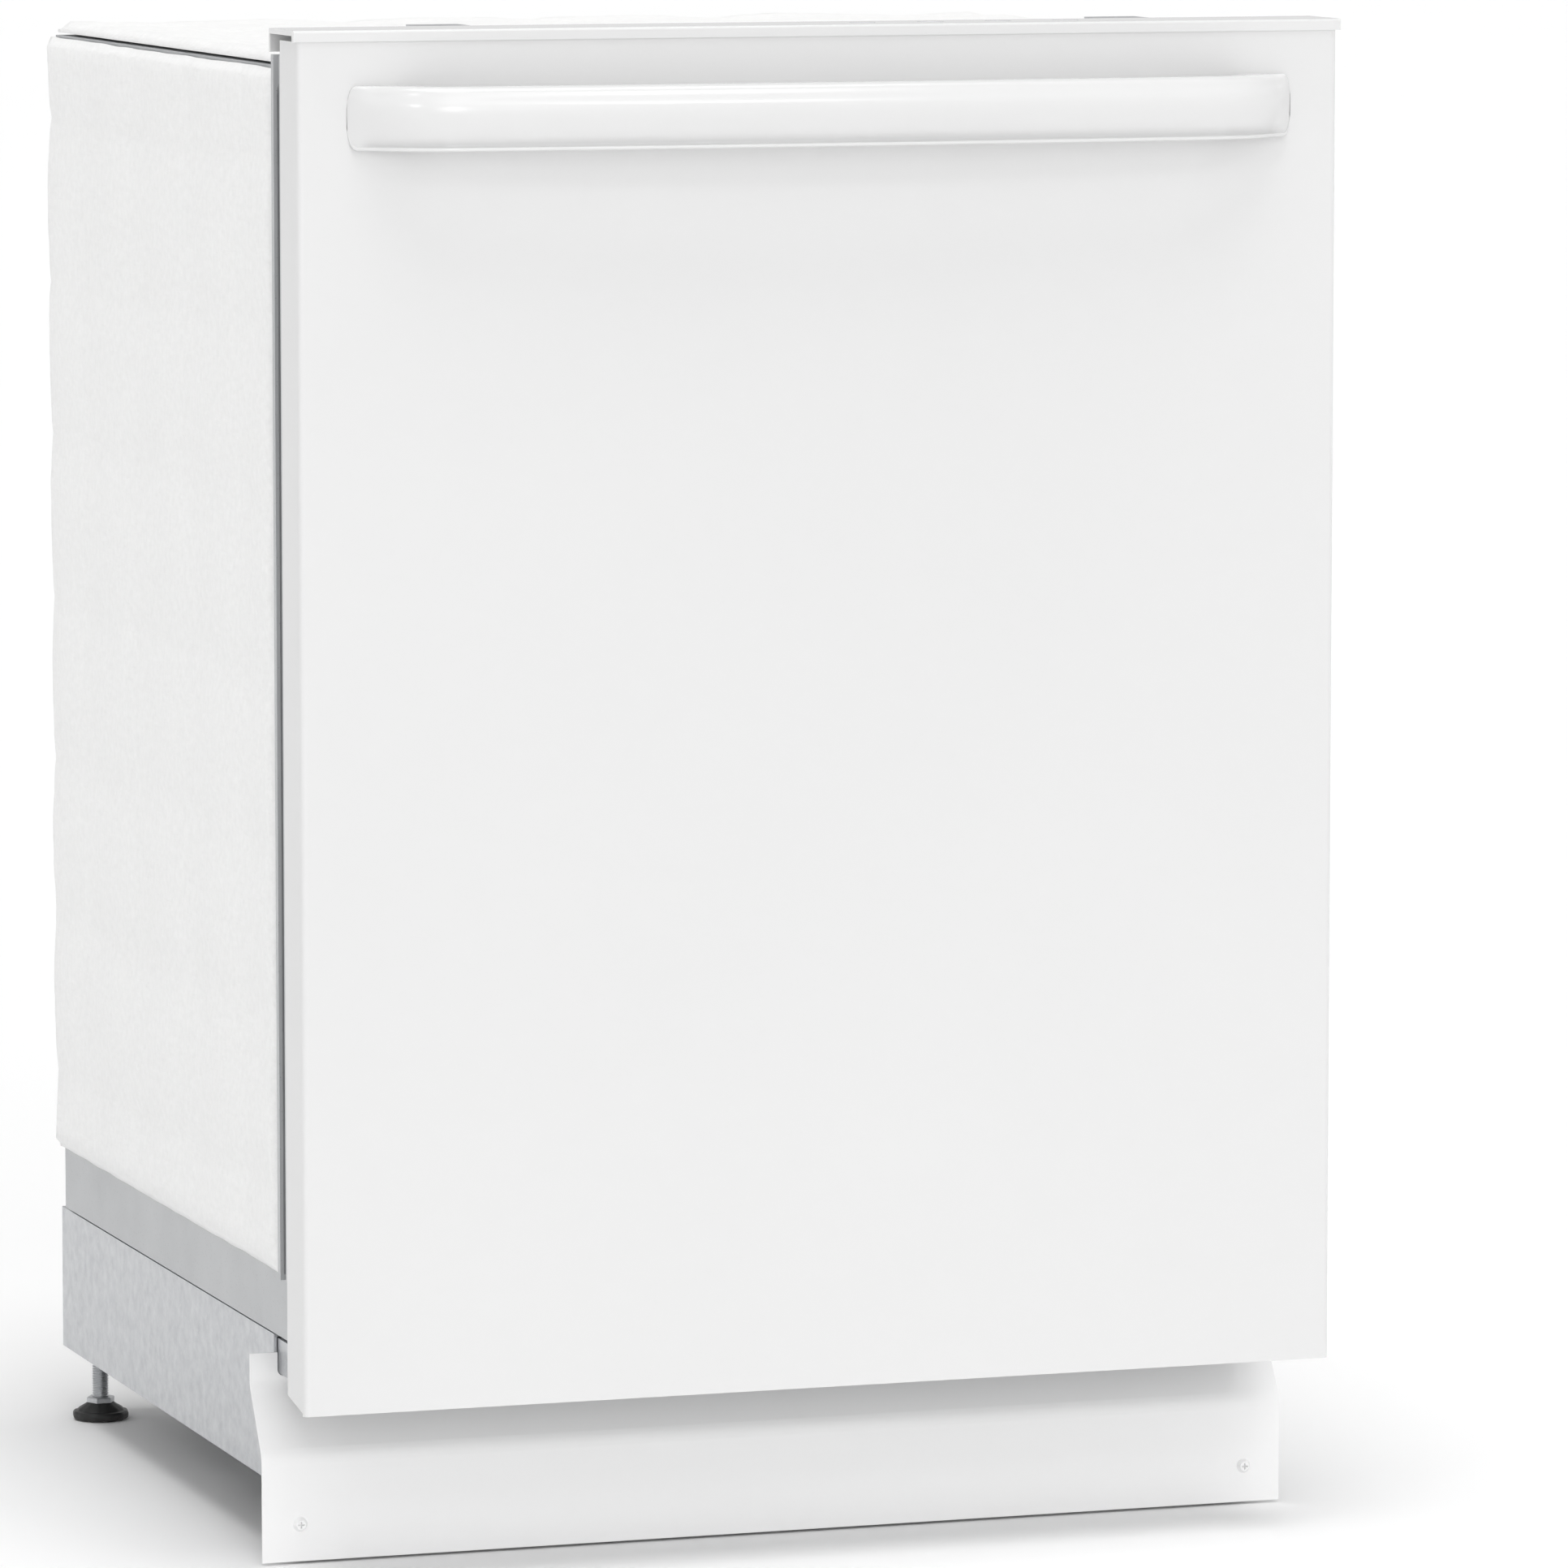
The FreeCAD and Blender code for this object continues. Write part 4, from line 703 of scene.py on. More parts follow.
# ------------------------------------------------------------------ mouldings on the tub and liner
def mouldings():
    b = Build()
    for s in (-1, 1):
        for y in range(-160, 260, 52):
            for z0, z1 in ((170, 584), (632, 812)):
                rings = []
                for k in range(13):
                    t = k / 12
                    z = z0 + (z1 - z0) * t
                    e = math.sqrt(max(0.02, 1 - abs(2 * t - 1) ** 8))
                    rings.append([(s * (288.0 - 1.9 * e * math.sin(PI * q / 8)), y - 9 * e * math.cos(PI * q / 8), z) for q in range(9)])
                b.grid(rings, False)
    for x in range(-240, 241, 60):
        if abs(x) < 30:
            continue
        rings = []
        for k in range(17):
            t = k / 16
            z = 190 + 590 * t
            e = math.sqrt(max(0.02, 1 - abs(2 * t - 1) ** 8))
            rings.append([(x - 11 * e * math.cos(PI * q / 8), 296.0 - 2.1 * e * math.sin(PI * q / 8), z) for q in range(9)])
        b.grid(rings, False)
    b.obj("tub_ribs", ["tub_plastic"], "root", 60, ())
    b = Build()

    def ridge(pts, w, h, closed=True):
        path = bend(pts, 14.0, 6, closed)
        n = len(path)
        rings = []
        for i, p in enumerate(path):
            a, c = path[(i - 1) % n], path[(i + 1) % n]
            t = (c - a).normalized()
            side = Vector((t.z, 0, -t.x))
            rings.append([(p.x + side.x * w * math.cos(PI * q / 8), -228.0 + h * math.sin(PI * q / 8), p.z + side.z * w * math.cos(PI * q / 8)) for q in range(9)])
        b.grid(rings, False, closed)
    ridge([(-224, 0, 150), (224, 0, 150), (224, 0, 372), (-224, 0, 372)], 4.0, 1.6)
    ridge([(-204, 0, 170), (204, 0, 170), (204, 0, 352), (-204, 0, 352)], 3.0, 1.2)
    ridge([(-224, 0, 590), (224, 0, 590), (224, 0, 806), (-224, 0, 806)], 4.0, 1.6)
    ridge([(-204, 0, 610), (204, 0, 610), (204, 0, 786), (-204, 0, 786)], 3.0, 1.2)
    for s in (-1, 1):
        ridge([(s * 132, 0, 396), (s * 222, 0, 396), (s * 222, 0, 566), (s * 132, 0, 566)], 3.4, 1.4)
    for x in (-276, 276):
        for z in (190, 330, 480, 640, 790):
            b.lathe([(4.2, 0.0), (4.2, 0.9), (3.2, 1.8), (1.4, 2.1), (0.4, 1.5)], (x, -228.0, z), "y", 20)
    b.obj("liner_ribs", ["tub_plastic"], "door", 60, ())


mouldings()


# ------------------------------------------------------------------ racks
def rack(name, X, y0, y1, zl, zh, zmid, xs, ys, tines, tine_top, node, body, parts):
    b = Build()
    r = 2.0
    for x in xs:
        b.sweep(bend([(x, y0 + 2.0, zh - 3.0), (x, y0 + 2.0, zl), (x, y1 - 2.0, zl), (x, y1 - 2.0, zh - 3.0)], 13.0), r)
    for y in ys:
        b.sweep(bend([(-X + 0.4, y, zh - 3.0), (-X + 0.4, y, zl + 4.1), (X - 0.4, y, zl + 4.1), (X - 0.4, y, zh - 3.0)], 15.0), r)
    b.sweep(bend([(-X, y0, zh), (X, y0, zh), (X, y1, zh), (-X, y1, zh)], 20.0, 8, True), r + 0.4, 10, True)
    i = 4.3
    b.sweep(bend([(-X + i, y0 + i + 1, zmid), (X - i, y0 + i + 1, zmid), (X - i, y1 - i - 1, zmid), (-X + i, y1 - i - 1, zmid)], 16.0, 8, True), r, 8, True)
    for x, ta, tb, n in tines:
        b.sweep(bend([(x, ta - 12, zl + 2.0), (x, ta - 12, zl + 8.0), (x, tb + 12, zl + 8.0), (x, tb + 12, zl + 2.0)], 4.0), 1.8)
        for k in range(n):
            y = ta + (tb - ta) * k / (n - 1)
            top = tine_top
            pts = [(x, y, zl + 8.2), (x, y + 0.5, zl + 20), (x, y + 1.0, top - 12), (x, y + 1.4, top - 1.4)]
            b.sweep(pts, lambda d, L=top - zl - 9: 1.6 if d < L - 5 else 1.85, 8)
    parts(b)
    return b.obj(name, ["rack_coating", "grey_plastic"], body, 50, (node,))


def lower_parts(b):
    b.use(1)
    for s in (-1, 1):
        for wy in (-20.0, 170.0):
            b.block(min(s * 236, s * 241), max(s * 236, s * 241), wy - 8, wy + 8, 146.5, 201, 1.6)
            b.block(min(s * 233, s * 243), max(s * 233, s * 243), wy - 12, wy + 12, 194, 204.5, 1.5)
            b.lathe([(4.0, 0.0), (4.0, 17.6), (3.2, 18.8), (0.8, 19.2)], (s * 240.5 if s > 0 else -259.5, wy, 153.4), "x", 20)
            b.lathe([(6.2, 0.0), (6.2, 1.5), (5.0, 2.2)], (s * 257.3 if s > 0 else -259.5, wy, 153.4), "x", 20)
    b.use(0)


def upper_parts(b):
    b.use(1)
    for s in (-1, 1):
        x0, x1 = (258.2, 272.6) if s > 0 else (-272.6, -258.2)
        b.block(x0, x1, -130, 130, 598, 616, 2.4)
        for y in (-118, -60, 0, 60, 118):
            b.block(min(s * 254, s * 262), max(s * 254, s * 262), y - 7, y + 7, 602, 625.5, 1.6)
    b.use(0)


rack("lower_rack_wires", 260.0, -198.0, 248.0, 199.0 + 2.0, 334.0, 266.0, (-220, -165, -110, -55, 0, 55, 110, 165, 220),
     (-150, -105, -62, -20, 28, 75, 122, 170, 205), [(-138, -30, 210, 9), (82, -30, 210, 9)], 295.0, "lower_rack", "lower_rack", lower_parts)
rack("upper_rack_wires", 254.0, -198.0, 238.0, 498.0 + 2.0, 624.0, 560.0, (-216, -162, -108, -54, 0, 54, 108, 162, 216),
     (-150, -105, -62, -20, 28, 65, 112, 150, 195), [(-60, -150, 144, 8), (60, -150, 144, 8)], 560.0, "upper_rack", "upper_rack", upper_parts)


def shelves():
    for side, s in (("left", -1), ("right", 1)):
        b = Build()
        b.sweep(bend([(s * 244, -140, 578.4), (s * 244, 190, 578.4), (s * 164, 190, 578.4), (s * 164, -140, 578.4)], 12.0, 6, True), 2.0, 8, True)
        for x in (216, 190):
            b.sweep(split((s * x, -138, 578.4), (s * x, 188, 578.4), 6), 1.9)
        for y in (-120, -80, -40, 10, 60, 115, 168):
            b.sweep(bend([(s * 243, y, 582.0), (s * 206, y, 582.0), (s * 200, y, 580.2), (s * 194, y, 582.0), (s * 166, y, 582.0)], 6.0), 1.7)
        b.obj("cup_shelf_%s_wires" % side, ["rack_coating"], "cup_shelf_" + side, 50, ("cup_shelf_" + side,))


shelves()


def wheels():
    for n, wy in (("front", -20.0), ("rear", 170.0)):
        b = Build()
        for s in (-1, 1):
            cx = 244.0 if s > 0 else -256.0
            c = (cx, wy, 153.4)
            b.lathe([(4.2, 0.4), (6.6, 0.2), (7.6, 1.2), (8.0, 3.4), (13.6, 3.6), (14.2, 0.8), (15.6, 0.1), (16.8, 1.0), (17.0, 2.6), (17.0, 5.0), (16.4, 5.6),
                     (16.4, 6.4), (17.0, 7.0), (17.0, 9.4), (16.8, 11.0), (15.6, 11.9), (14.2, 11.2), (13.6, 8.4), (8.0, 8.6), (7.6, 10.8), (6.6, 11.8), (4.2, 11.6)],
                    c, "x", 48, None, False)
            for k in range(6):
                a = 2 * PI * k / 6
                for q in range(2):
                    p0 = (cx + (2.4 if q == 0 else 9.6), wy + 7.4 * math.cos(a), 153.4 + 7.4 * math.sin(a))
                    p1 = (cx + (2.4 if q == 0 else 9.6), wy + 14.4 * math.cos(a), 153.4 + 14.4 * math.sin(a))
                    b.sweep([p0, p1], 1.3, 6)
        b.obj("lower_wheels_%s_pair" % n, ["grey_plastic"], "lower_wheels_" + n, 40, ("lower_wheels_" + n,))


wheels()


# ------------------------------------------------------------------ silverware basket
def basket():
    b = Build()
    x0, x1, y0, y1, z0, z1 = -122.0, 122.0, -184.0, -100.0, 208.0, 322.0
    b.block(x0, x1, y0, y0 + 2.2, z1 - 12, z1, 0.8)
    b.block(x0, x1, y1 - 2.2, y1, z1 - 12, z1, 0.8)
    for x in (x0, x1 - 2.2):
        b.block(x, x + 2.2, y0 + 1, y1 - 1, z1 - 12, z1, 0.8)
    for za, zb in ((z0, z0 + 10), (z0 + 50, z0 + 56)):
        b.block(x0, x1, y0, y0 + 2.2, za, zb, 0.7)
        b.block(x0, x1, y1 - 2.2, y1, za, zb, 0.7)
        for x in (x0, x1 - 2.2):
            b.block(x, x + 2.2, y0 + 1, y1 - 1, za, zb, 0.7)
    n = 32
    for k in range(n + 1):
        x = x0 + 1.4 + (x1 - x0 - 2.8) * k / n
        for y in (y0 + 1.1, y1 - 1.1):
            b.block(x - 1.2, x + 1.2, y - 0.9, y + 0.9, z0 + 4, z1 - 6, 0.5, 1)
    n = 11
    for k in range(1, n):
        y = y0 + (y1 - y0) * k / n
        for x in (x0 + 1.1, x1 - 1.1):
            b.block(x - 0.9, x + 0.9, y - 1.2, y + 1.2, z0 + 4, z1 - 6, 0.5, 1)
    for k in range(1, 4):
        x = -120 + 60.5 * k - 1.0
        b.block(x - 0.9, x + 0.9, y0 + 1.6, y1 - 1.6, z0 + 1, z0 + 9, 0.5, 1)
        b.block(x - 0.9, x + 0.9, y0 + 1.6, y1 - 1.6, z1 - 12, z1 - 2, 0.5, 1)
        for q in range(1, 10):
            y = y0 + (y1 - y0) * q / 10
            b.block(x - 0.9, x + 0.9, y - 1.1, y + 1.1, z0 + 4, z1 - 6, 0.4, 1)
    for k in range(27):
        x = x0 + 3 + (x1 - x0 - 6) * k / 26
        b.block(x - 1.0, x + 1.0, y0 + 1.5, y1 - 1.5, z0 + 0.2, z0 + 2.4, 0.5, 1)
    for k in range(9):
        y = y0 + 4 + (y1 - y0 - 8) * k / 8
        b.block(x0 + 1.5, x1 - 1.5, y - 1.0, y + 1.0, z0 + 0.3, z0 + 2.3, 0.5, 1)
    hp = bend([(-56, -142, 312), (-56, -142, 358), (56, -142, 358), (56, -142, 312)], 14.0, 8)
    sec = [(math.copysign(abs(math.cos(2 * PI * k / 16)) ** 0.6, math.cos(2 * PI * k / 16)) * 3.6, math.copysign(abs(math.sin(2 * PI * k / 16)) ** 0.6, math.sin(2 * PI * k / 16)) * 2.3) for k in range(16)]
    b.sweep(hp, 1.0, section=[(u, v) for v, u in [(s[0] * 1.0, s[1] * 1.0) for s in sec]])
    for x in (-56, 56):
        b.block(x - 4.5, x + 4.5, -145.5, -138.5, 306, 324, 1.4)
        b.block(x - 1.4, x + 1.4, y0 + 1, y1 - 1, z1 - 9, z1 - 4, 0.5, 1)
    b.block(-30, 30, -145.6, -138.4, 354.6, 361.6, 2.2, 3)
    b.obj("basket_lattice", ["grey_plastic"], "silverware_basket", 45, ("silverware_basket",))


basket()


# ------------------------------------------------------------------ heater, filter, float
def heater():
    b = Build()
    z = 148.0
    b.sweep(bend([(-24, 203, 132.3), (-24, 203, z), (-168, 203, z), (-168, -128, z), (168, -128, z), (168, 203, z), (24, 203, z), (24, 203, 132.3)],
                 [0, 9, 42, 42, 42, 42, 9, 0], 8), 4.0, 12)
    b.use(1)
    for x in (-24, 24):
        b.lathe([(9.0, 0.0), (9.0, 3.6), (8.2, 4.4), (5.2, 4.4)], (x, 203, 132.3), "z", 6)
        b.lathe([(5.6, 4.2), (5.6, 7.2), (4.6, 7.8)], (x, 203, 132.3), "z", 20)
    for x, y in ((-168, 60), (168, 60), (0, -128)):
        b.block(x - 3, x + 3, y - 3, y + 3, 132.3, 144.2, 0.8)
        b.block(x - (7 if y > 0 else 3), x + (7 if y > 0 else 3), y - (3 if y > 0 else 7), y + (3 if y > 0 else 7), 132.3, 134.2, 0.6)
    b.obj("heater_loop", ["heater_sheath", "stainless"], "root", 40, ("heating_element",))


heater()


def filter_cup():
    b = Build()
    b.lathe([(30.6, 84.4), (31.0, 85.4), (31.0, 88.4), (30.2, 89.0), (30.2, 130), (31.0, 130.8), (31.0, 134.6)], (68, -14, 0), "z", 64)
    b.use(1)
    for k in range(16):
        a = 2 * PI * k / 16
        c, s = math.cos(a), math.sin(a)
        b.sweep([(68 + 30.1 * c, -14 + 30.1 * s, 86), (68 + 30.1 * c, -14 + 30.1 * s, 134)], 0.85, 6)
    for z in (99, 113, 126):
        b.sweep([(68 + 30.2 * math.cos(2 * PI * k / 40), -14 + 30.2 * math.sin(2 * PI * k / 40), z) for k in range(40)], 0.75, 6, True)
    b.lathe([(31.0, 134.8), (35.4, 134.9), (36.0, 135.6), (36.0, 137.8), (35.2, 138.6), (31.0, 138.8), (29.5, 137.6), (12.0, 137.6), (10.5, 138.8), (3.0, 138.8)],
            (68, -14, 0), "z", 60, lambda k: 1.0)
    b.block(66.0, 70.0, -36, 8, 137.4, 147.9, 1.6, 3)
    for k in range(12):
        a = 2 * PI * k / 12 + 0.26
        b.block(68 + 22 * math.cos(a) - 1.6, 68 + 22 * math.cos(a) + 1.6, -14 + 22 * math.sin(a) - 1.6, -14 + 22 * math.sin(a) + 1.6, 137.2, 138.6, 0.5, 1)
    b.obj("filter_cup", ["mesh_screen", "grey_plastic"], "filter_cylinder", 40, ("filter_cylinder",))
    b = Build()
    b.lathe([(6.3, 133.2), (19.0, 133.2), (20.0, 134.0), (20.0, 165.5), (19.4, 168.5), (17.0, 171.6), (12.5, 173.8), (1.0, 174.0), (0.3, 172.4)], (-200, -130, 0), "z", 48,
            lambda k: 1.0 if k % 4 else 0.965)
    b.obj("float_cup", ["grey_plastic"], "float_cap", 45, ("float_cap",))


filter_cup()


# ------------------------------------------------------------------ legs
def legs():
    for side, sx in (("left", -1), ("right", 1)):
        for end, ly in (("front", -147.0), ("rear", 285.0)):
            n = "leg_%s_%s" % (end, side)
            b = Build()
            b.lathe([(15.4, 0.0), (16.6, 0.5), (17.0, 1.6), (17.0, 3.6), (16.2, 4.8), (14.2, 5.2), (13.4, 6.4), (9.0, 9.0), (8.0, 10.0), (5.0, 10.1)], (275 * sx, ly, 0), "z", 48,
                    lambda k: 1.0 if k % 4 < 2 else 0.975)
            prof = []
            z = 10.0
            while z < 72.0:
                prof += [(4.35, z), (4.98, z + 0.55), (4.98, z + 0.75), (4.35, z + 1.3)]
                z += 1.5
            prof += [(4.4, 72.6), (3.6, 73.5)]
            b.use(1)
            b.lathe([(5.0, 9.6)] + prof, (275 * sx, ly, 0), "z", 20)
            b.lathe([(8.6, 10.0), (8.6, 12.6), (8.0, 13.2), (5.2, 13.3)], (275 * sx, ly, 0), "z", 6)
            b.obj(n + "_foot", ["black_plastic", "zinc_steel"], n, 32, (n,))


legs()


# ------------------------------------------------------------------ springs and cables
def springs():
    b = Build()
    for s in (-1, 1):
        x = s * 282.2
        y0, y1 = -114.0, 66.0
        turns = 78
        n = turns * 12
        pts = []
        for k in range(n + 1):
            a = 2 * PI * turns * k / n
            pts.append((x + 4.35 * math.cos(a), y0 + (y1 - y0) * k / n, 108 + 4.35 * math.sin(a)))
        b.sweep(pts, 0.82, 6)
        for ya, yb, sg in ((y0, -118.0, -1), (y1, 71.5, 1)):
            b.sweep(bend([(x + 4.3, ya, 108), (x + 1.0, ya + sg * 1.5, 108), (x, (ya + yb) / 2 + sg * 1.0, 108), (x, yb, 108)], 1.5, 4), 0.82, 6)
    b.obj("balance_springs", ["zinc_steel"], "root", 60, ("door_springs",))
    b = Build()
    for s in (-1, 1):
        x = s * 282.2
        for q in range(3):
            pts = []
            for k in range(121):
                y = -211.4 + (93.0) * k / 120
                a = 2 * PI * (k / 120 * 13 + q / 3)
                pts.append((x + 0.42 * math.cos(a), y, 108 + 0.42 * math.sin(a)))
            b.sweep(pts, 0.46, 6)
        b.lathe([(0.9, -211.9), (1.25, -211.6), (1.25, -207.0), (0.95, -206.6)], (x, 0, 108), "y", 14)
        b.lathe([(0.95, -125.0), (1.25, -124.6), (1.25, -119.6), (0.9, -119.2)], (x, 0, 108), "y", 14)
    o = b.obj("spring_cable_strands", ["zinc_steel"], None, 60)
    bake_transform(o)
    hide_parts("spring_cables")


springs()


# ------------------------------------------------------------------ hoses and pump set
def spline_points(points, samples=24):
    cu = bpy.data.curves.new("route", "CURVE")
    cu.dimensions = "3D"
    cu.resolution_u = samples
    sp = cu.splines.new("NURBS")
    sp.points.add(len(points) - 1)
    for q, p in zip(sp.points, points):
        q.co = (p[0], p[1], p[2], 1.0)
    sp.order_u = 3
    sp.use_endpoint_u = True
    o = bpy.data.objects.new("route", cu)
    scene.collection.objects.link(o)
    bpy.context.view_layer.update()
    me = bpy.data.meshes.new_from_object(o)
    out = [v.co.copy() for v in me.vertices]
    bpy.data.objects.remove(o)
    bpy.data.curves.remove(cu)
    bpy.data.meshes.remove(me)
    return out


def resample(pts, step):
    out, acc = [pts[0].copy()], 0.0
    for a, c in zip(pts, pts[1:]):
        d = (c - a).length
        while acc + d >= step:
            t = (step - acc) / d
            a = a.lerp(c, t)
            out.append(a.copy())
            d = (c - a).length
            acc = 0.0
        acc += d
    if (out[-1] - pts[-1]).length > 0.2 * step:
        out.append(pts[-1].copy())
    return out


def hoses():
    b = Build()
    line = resample(spline_points([(149, 84.2, 64), (149, 126, 64), (151, 160, 63.5), (169, 202, 59), (172, 240, 58), (172, 289.6, 58)]), 0.9)
    total = 0.9 * (len(line) - 1)

    def rad(d):
        if d < 14 or d > total - 16:
            return 9.3
        return 8.5 + 0.95 * (0.5 - 0.5 * math.cos(2 * PI * d / 4.6))
    b.sweep(line, rad, 18, tip=False)
    b.use(1)
    for c, w in (((149, 92, 64), 1), ((172, 282, 58), 1)):
        b.lathe([(9.4, -3.2), (10.2, -3.0), (10.4, 0), (10.2, 3.0), (9.4, 3.2)], c, "y", 36)
        b.block(c[0] - 3.4, c[0] + 3.4, c[1] - 3.0, c[1] + 3.0, c[2] + 9.6, c[2] + 13.0, 0.8)
    b.use(2)
    b.lathe([(6.4, 286.0), (8.2, 286.0), (9.0, 290.0), (9.0, 296), (8.2, 298), (9.0, 300.6), (8.2, 303), (9.0, 305.6), (8.2, 308), (9.0, 310.6), (8.2, 316.6), (7.6, 317.4), (6.4, 317.4)],
            (172, 0, 58), "y", 32, None, False)
    b.obj("drain_line", ["grey_plastic", "stainless", "black_plastic"], "root", 40, ("drain_hose",))
    b = Build()
    fp = resample(spline_points([(-251, -87.6, 68), (-251, 70, 68), (-251, 176, 68), (-251, 236, 68), (-251, 236, 100), (-251, 236, 127.2)]), 2.0)
    b.sweep(fp, 5.4, 16, tip=False)
    b.use(1)
    b.lathe([(5.5, -3.0), (6.2, -2.6), (6.4, 0), (6.2, 2.6), (5.5, 3.0)], (-251, -82, 68), "y", 28)
    b.lathe([(5.5, -3.0), (6.2, -2.6), (6.4, 0), (6.2, 2.6), (5.5, 3.0)], (-251, 236, 120), "z", 28)
    b.obj("fill_line", ["rubber", "stainless"], "root", 40, ("fill_hose",))


hoses()


def pump_set():
    b = Build()
    c = (0, 60, 60)
    b.lathe([(4.0, -238.0), (22, -238.0), (24, -236.6), (33, -235.4), (36.6, -232.6), (37.6, -228), (37.6, -214), (36.4, -213.4)], c, "x", 48, lambda k: 1.0 if k % 6 else 0.985)
    b.lathe([(36.4, -174.6), (37.6, -174), (37.6, -158), (36.6, -153.4), (33, -151.2), (20.0, -150.2), (19.8, -146.6), (5.0, -146.5)], c, "x", 48, lambda k: 1.0 if k % 6 else 0.985)
    b.use(1)
    prof = []
    x = -212.6
    while x < -176.0:
        prof += [(35.0, x), (37.9, x + 0.25), (37.9, x + 1.15), (35.0, x + 1.4)]
        x += 1.8
    b.lathe([(20, -213.0)] + prof + [(20, -175.6)], c, "x", 48)
    b.use(2)
    for xx, w in ((-220.5, 1), (-168.0, 1)):
        pass
    b.use(0)
    b.block(-224.6, -165.4, 40.4, 79.6, 18.2, 24.0, 1.2)
    b.block(-214, -176, 48, 72, 22, 30, 1.6)
    for x, y in ((-219, 46), (-219, 74), (-171, 46), (-171, 74)):
        b.lathe([(3.6, 23.8), (3.6, 26.6), (2.6, 27.4), (0.4, 27.4)], (x, y, 0), "z", 6)
    for k in range(4):
        a = PI / 4 + k * PI / 2
        y, z = 60 + 34.2 * math.cos(a), 60 + 34.2 * math.sin(a)
        b.sweep([(-234, y, z), (-154, y, z)], 2.0, 10)
    b.obj("wash_motor_body", ["zinc_steel", "stainless", "copper_wire"], "root", 32, ("wash_motor",))
    b = Build()
    for k in range(8):
        a = 2 * PI * (k + 0.5) / 8
        y, z = 60 + 31.0 * math.cos(a), 60 + 31.0 * math.sin(a)
        b.lathe([(2.6, -100.2), (2.6, -98.6), (1.8, -97.8), (0.4, -97.8)], (0, y, z), "x", 12)
        b.block(-141.5, -101.5, 60 + 33.6 * math.cos(a) - 1.0, 60 + 33.6 * math.cos(a) + 1.0, 60 + 33.6 * math.sin(a) - 1.0, 60 + 33.6 * math.sin(a) + 1.0, 0.6, 1)
    b.obj("volute_bolts", ["zinc_steel"], "root", 32, ())
    b = Build()
    c = (0, 40, 64)
    for x in (164.5, 199.0):
        b.lathe([(19.9, x), (20.7, x + 0.3), (20.7, x + 1.1), (19.9, x + 1.4)], c, "x", 40)
    for k in range(10):
        a = 2 * PI * k / 10
        b.sweep([(166, 40 + 20.0 * math.cos(a), 64 + 20.0 * math.sin(a)), (198, 40 + 20.0 * math.cos(a), 64 + 20.0 * math.sin(a))], 0.9, 6)
    for k in range(5):
        a = 2 * PI * k / 5 + 0.3
        b.lathe([(2.4, 163.0), (2.4, 165.6), (1.6, 166.2), (0.4, 166.2)], (0, 40 + 23.2 * math.cos(a), 64 + 23.2 * math.sin(a)), "x", 6)
    b.obj("drain_pump_ribs", ["black_plastic"], "root", 35, ())
    b = Build()
    b.lathe([(13.2, 85.0), (13.9, 85.4), (13.9, 88.0), (12.6, 88.6), (12.6, 103.6), (13.9, 104.2), (13.9, 106.8), (13.2, 107.2)], (-231, -115, 0), "z", 40, None, True)
    b.use(1)
    prof = []
    z = 88.8
    while z < 103.0:
        prof += [(12.7, z), (13.15, z + 0.35), (12.7, z + 0.7)]
        z += 0.75
    b.lathe(prof, (-231, -115, 0), "z", 40)
    b.use(2)
    for dx in (-4, 4):
        b.block(-231 + dx - 2.6, -231 + dx + 2.6, -115.5, -114.7, 107.0, 113.8, 0.3, 1)
    b.obj("valve_coil_windings", ["black_plastic", "copper_wire", "brass"], "root", 30, ())
    b = Build()
    for x, y in ((203, -131), (249, -131), (203, -67), (249, -67)):
        b.lathe([(3.0, 93.9), (3.0, 95.0), (2.2, 95.9), (0.4, 95.9)], (x, y, 0), "z", 18)
        b.block(x - 2.0, x + 2.0, y - 0.35, y + 0.35, 95.4, 96.0, 0.1, 1)
    b.block(195.6, 256.4, -138.4, -59.6, 91.6, 94.3, 0.8)
    b.obj("junction_lid", ["zinc_steel"], "root", 32, ())


pump_set()


# ------------------------------------------------------------------ spray arm nozzles
def nozzles():
    for name, body, cx, cy, top, r, half in (("lower_nozzles", "lower_spray_arm", 0, 40, 178.0, 232.0, 22), ("top_nozzles", "top_spray_arm", 0, 40, 797.0, 140.0, 17),
                                             ("upper_nozzles", "upper_spray_arm", 0, 30, 477.0, 205.0, 19)):
        b = Build()
        for s in (-1, 1):
            for k in (2, 3, 4):
                x, y = cx + s * k * r / 5.2, cy + (4 if k % 2 else -4) * s
                b.lathe([(1.9, -0.4), (4.4, -0.4), (4.2, 0.3), (3.4, 0.9), (2.3, 1.1), (1.9, 0.7)], (x, y, top), "z", 24, None, False)
            b.sweep(split((cx + s * 30, cy, top - 0.4), (cx + s * (r - half), cy, top - 0.4), 8), lambda d: 1.5, 8)
        b.obj(name, ["grey_plastic"], body, 40, ())


nozzles()


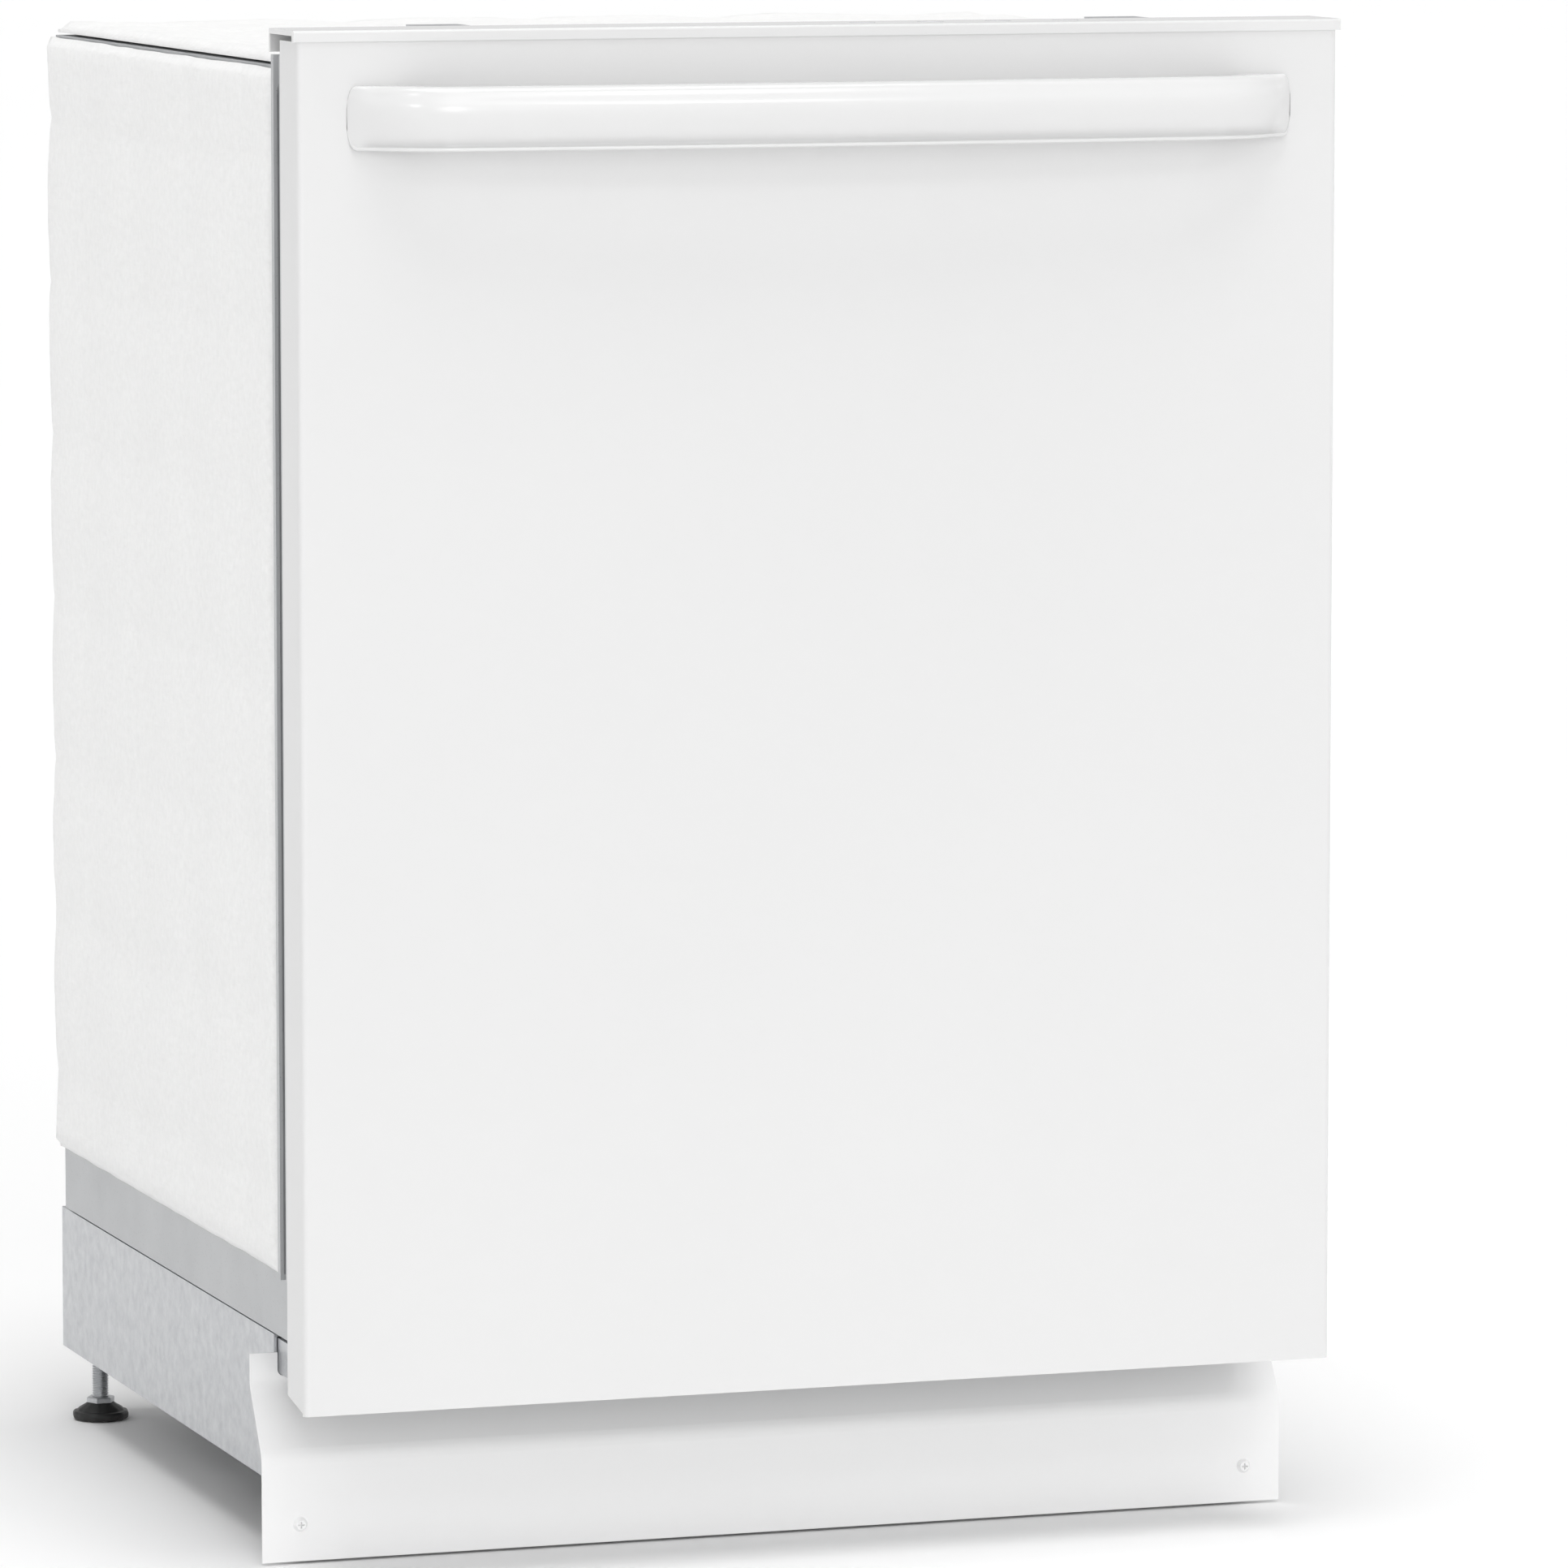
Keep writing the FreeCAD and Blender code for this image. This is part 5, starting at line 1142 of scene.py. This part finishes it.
# ------------------------------------------------------------------ dispenser trim
def dispenser():
    b = Build()
    y = -219.6
    for pts, w, h in (([(-108, 0, 397), (108, 0, 397), (108, 0, 563), (-108, 0, 563)], 2.0, 1.0), ([(-86, 0, 410), (53, 0, 410), (53, 0, 550), (-86, 0, 550)], 1.6, 0.9)):
        path = bend(pts, 9.0, 6, True)
        n = len(path)
        rings = []
        for i, p in enumerate(path):
            t = (path[(i + 1) % n] - path[(i - 1) % n]).normalized()
            side = Vector((t.z, 0, -t.x))
            rings.append([(p.x + side.x * w * math.cos(PI * q / 6), y + h * math.sin(PI * q / 6), p.z + side.z * w * math.cos(PI * q / 6)) for q in range(7)])
        b.grid(rings, False, True)
    for k in range(7):
        b.block(8, 34, y - 0.6, y + 0.2, 424 + 9 * k, 427.5 + 9 * k, 0.2, 1)
    b.lathe([(21.5, -0.3), (22.5, 0.4), (21.2, 1.0), (19.0, 0.9), (18.4, 0.2)], (78, y, 480), "y", 48, None, False)
    for k in range(24):
        a = 2 * PI * k / 24
        b.block(78 + 20.2 * math.cos(a) - 0.7, 78 + 20.2 * math.cos(a) + 0.7, y, y + 1.3, 480 + 20.2 * math.sin(a) - 0.7, 480 + 20.2 * math.sin(a) + 0.7, 0.3, 1)
    b.use(1)
    b.lathe([(4.6, -0.3), (4.6, 0.6), (3.6, 1.3), (0.4, 1.5)], (78, y, 528), "y", 24)
    b.lathe([(3.0, -0.3), (3.0, 1.4), (2.2, 2.0), (0.4, 2.1)], (78, y, 436), "y", 20)
    b.block(66, 90, y - 0.4, y + 1.6, 410, 422, 1.4)
    b.obj("dispenser_trim", ["grey_plastic", "black_plastic"], "door", 40, ())


dispenser()


# ------------------------------------------------------------------ control board parts
def board():
    b = Build()
    b.block(-190, 190, -268, -250, 838.2, 839.6, 0.3, 1)
    b.use(1)
    for x, w in ((-150, 14), (-96, 22), (-30, 10), (60, 12), (128, 16)):
        b.block(x - w / 2, x + w / 2, -264, -254, 839.4, 843.6, 0.6)
    for x in (-120, -60, 10, 90):
        b.lathe([(3.4, 839.4), (3.4, 844.6), (2.8, 845.2), (0.3, 845.0)], (x, -259, 0), "z", 18)
    b.obj("board_parts", ["board_green", "black_plastic"], "door", 32, ())


board()
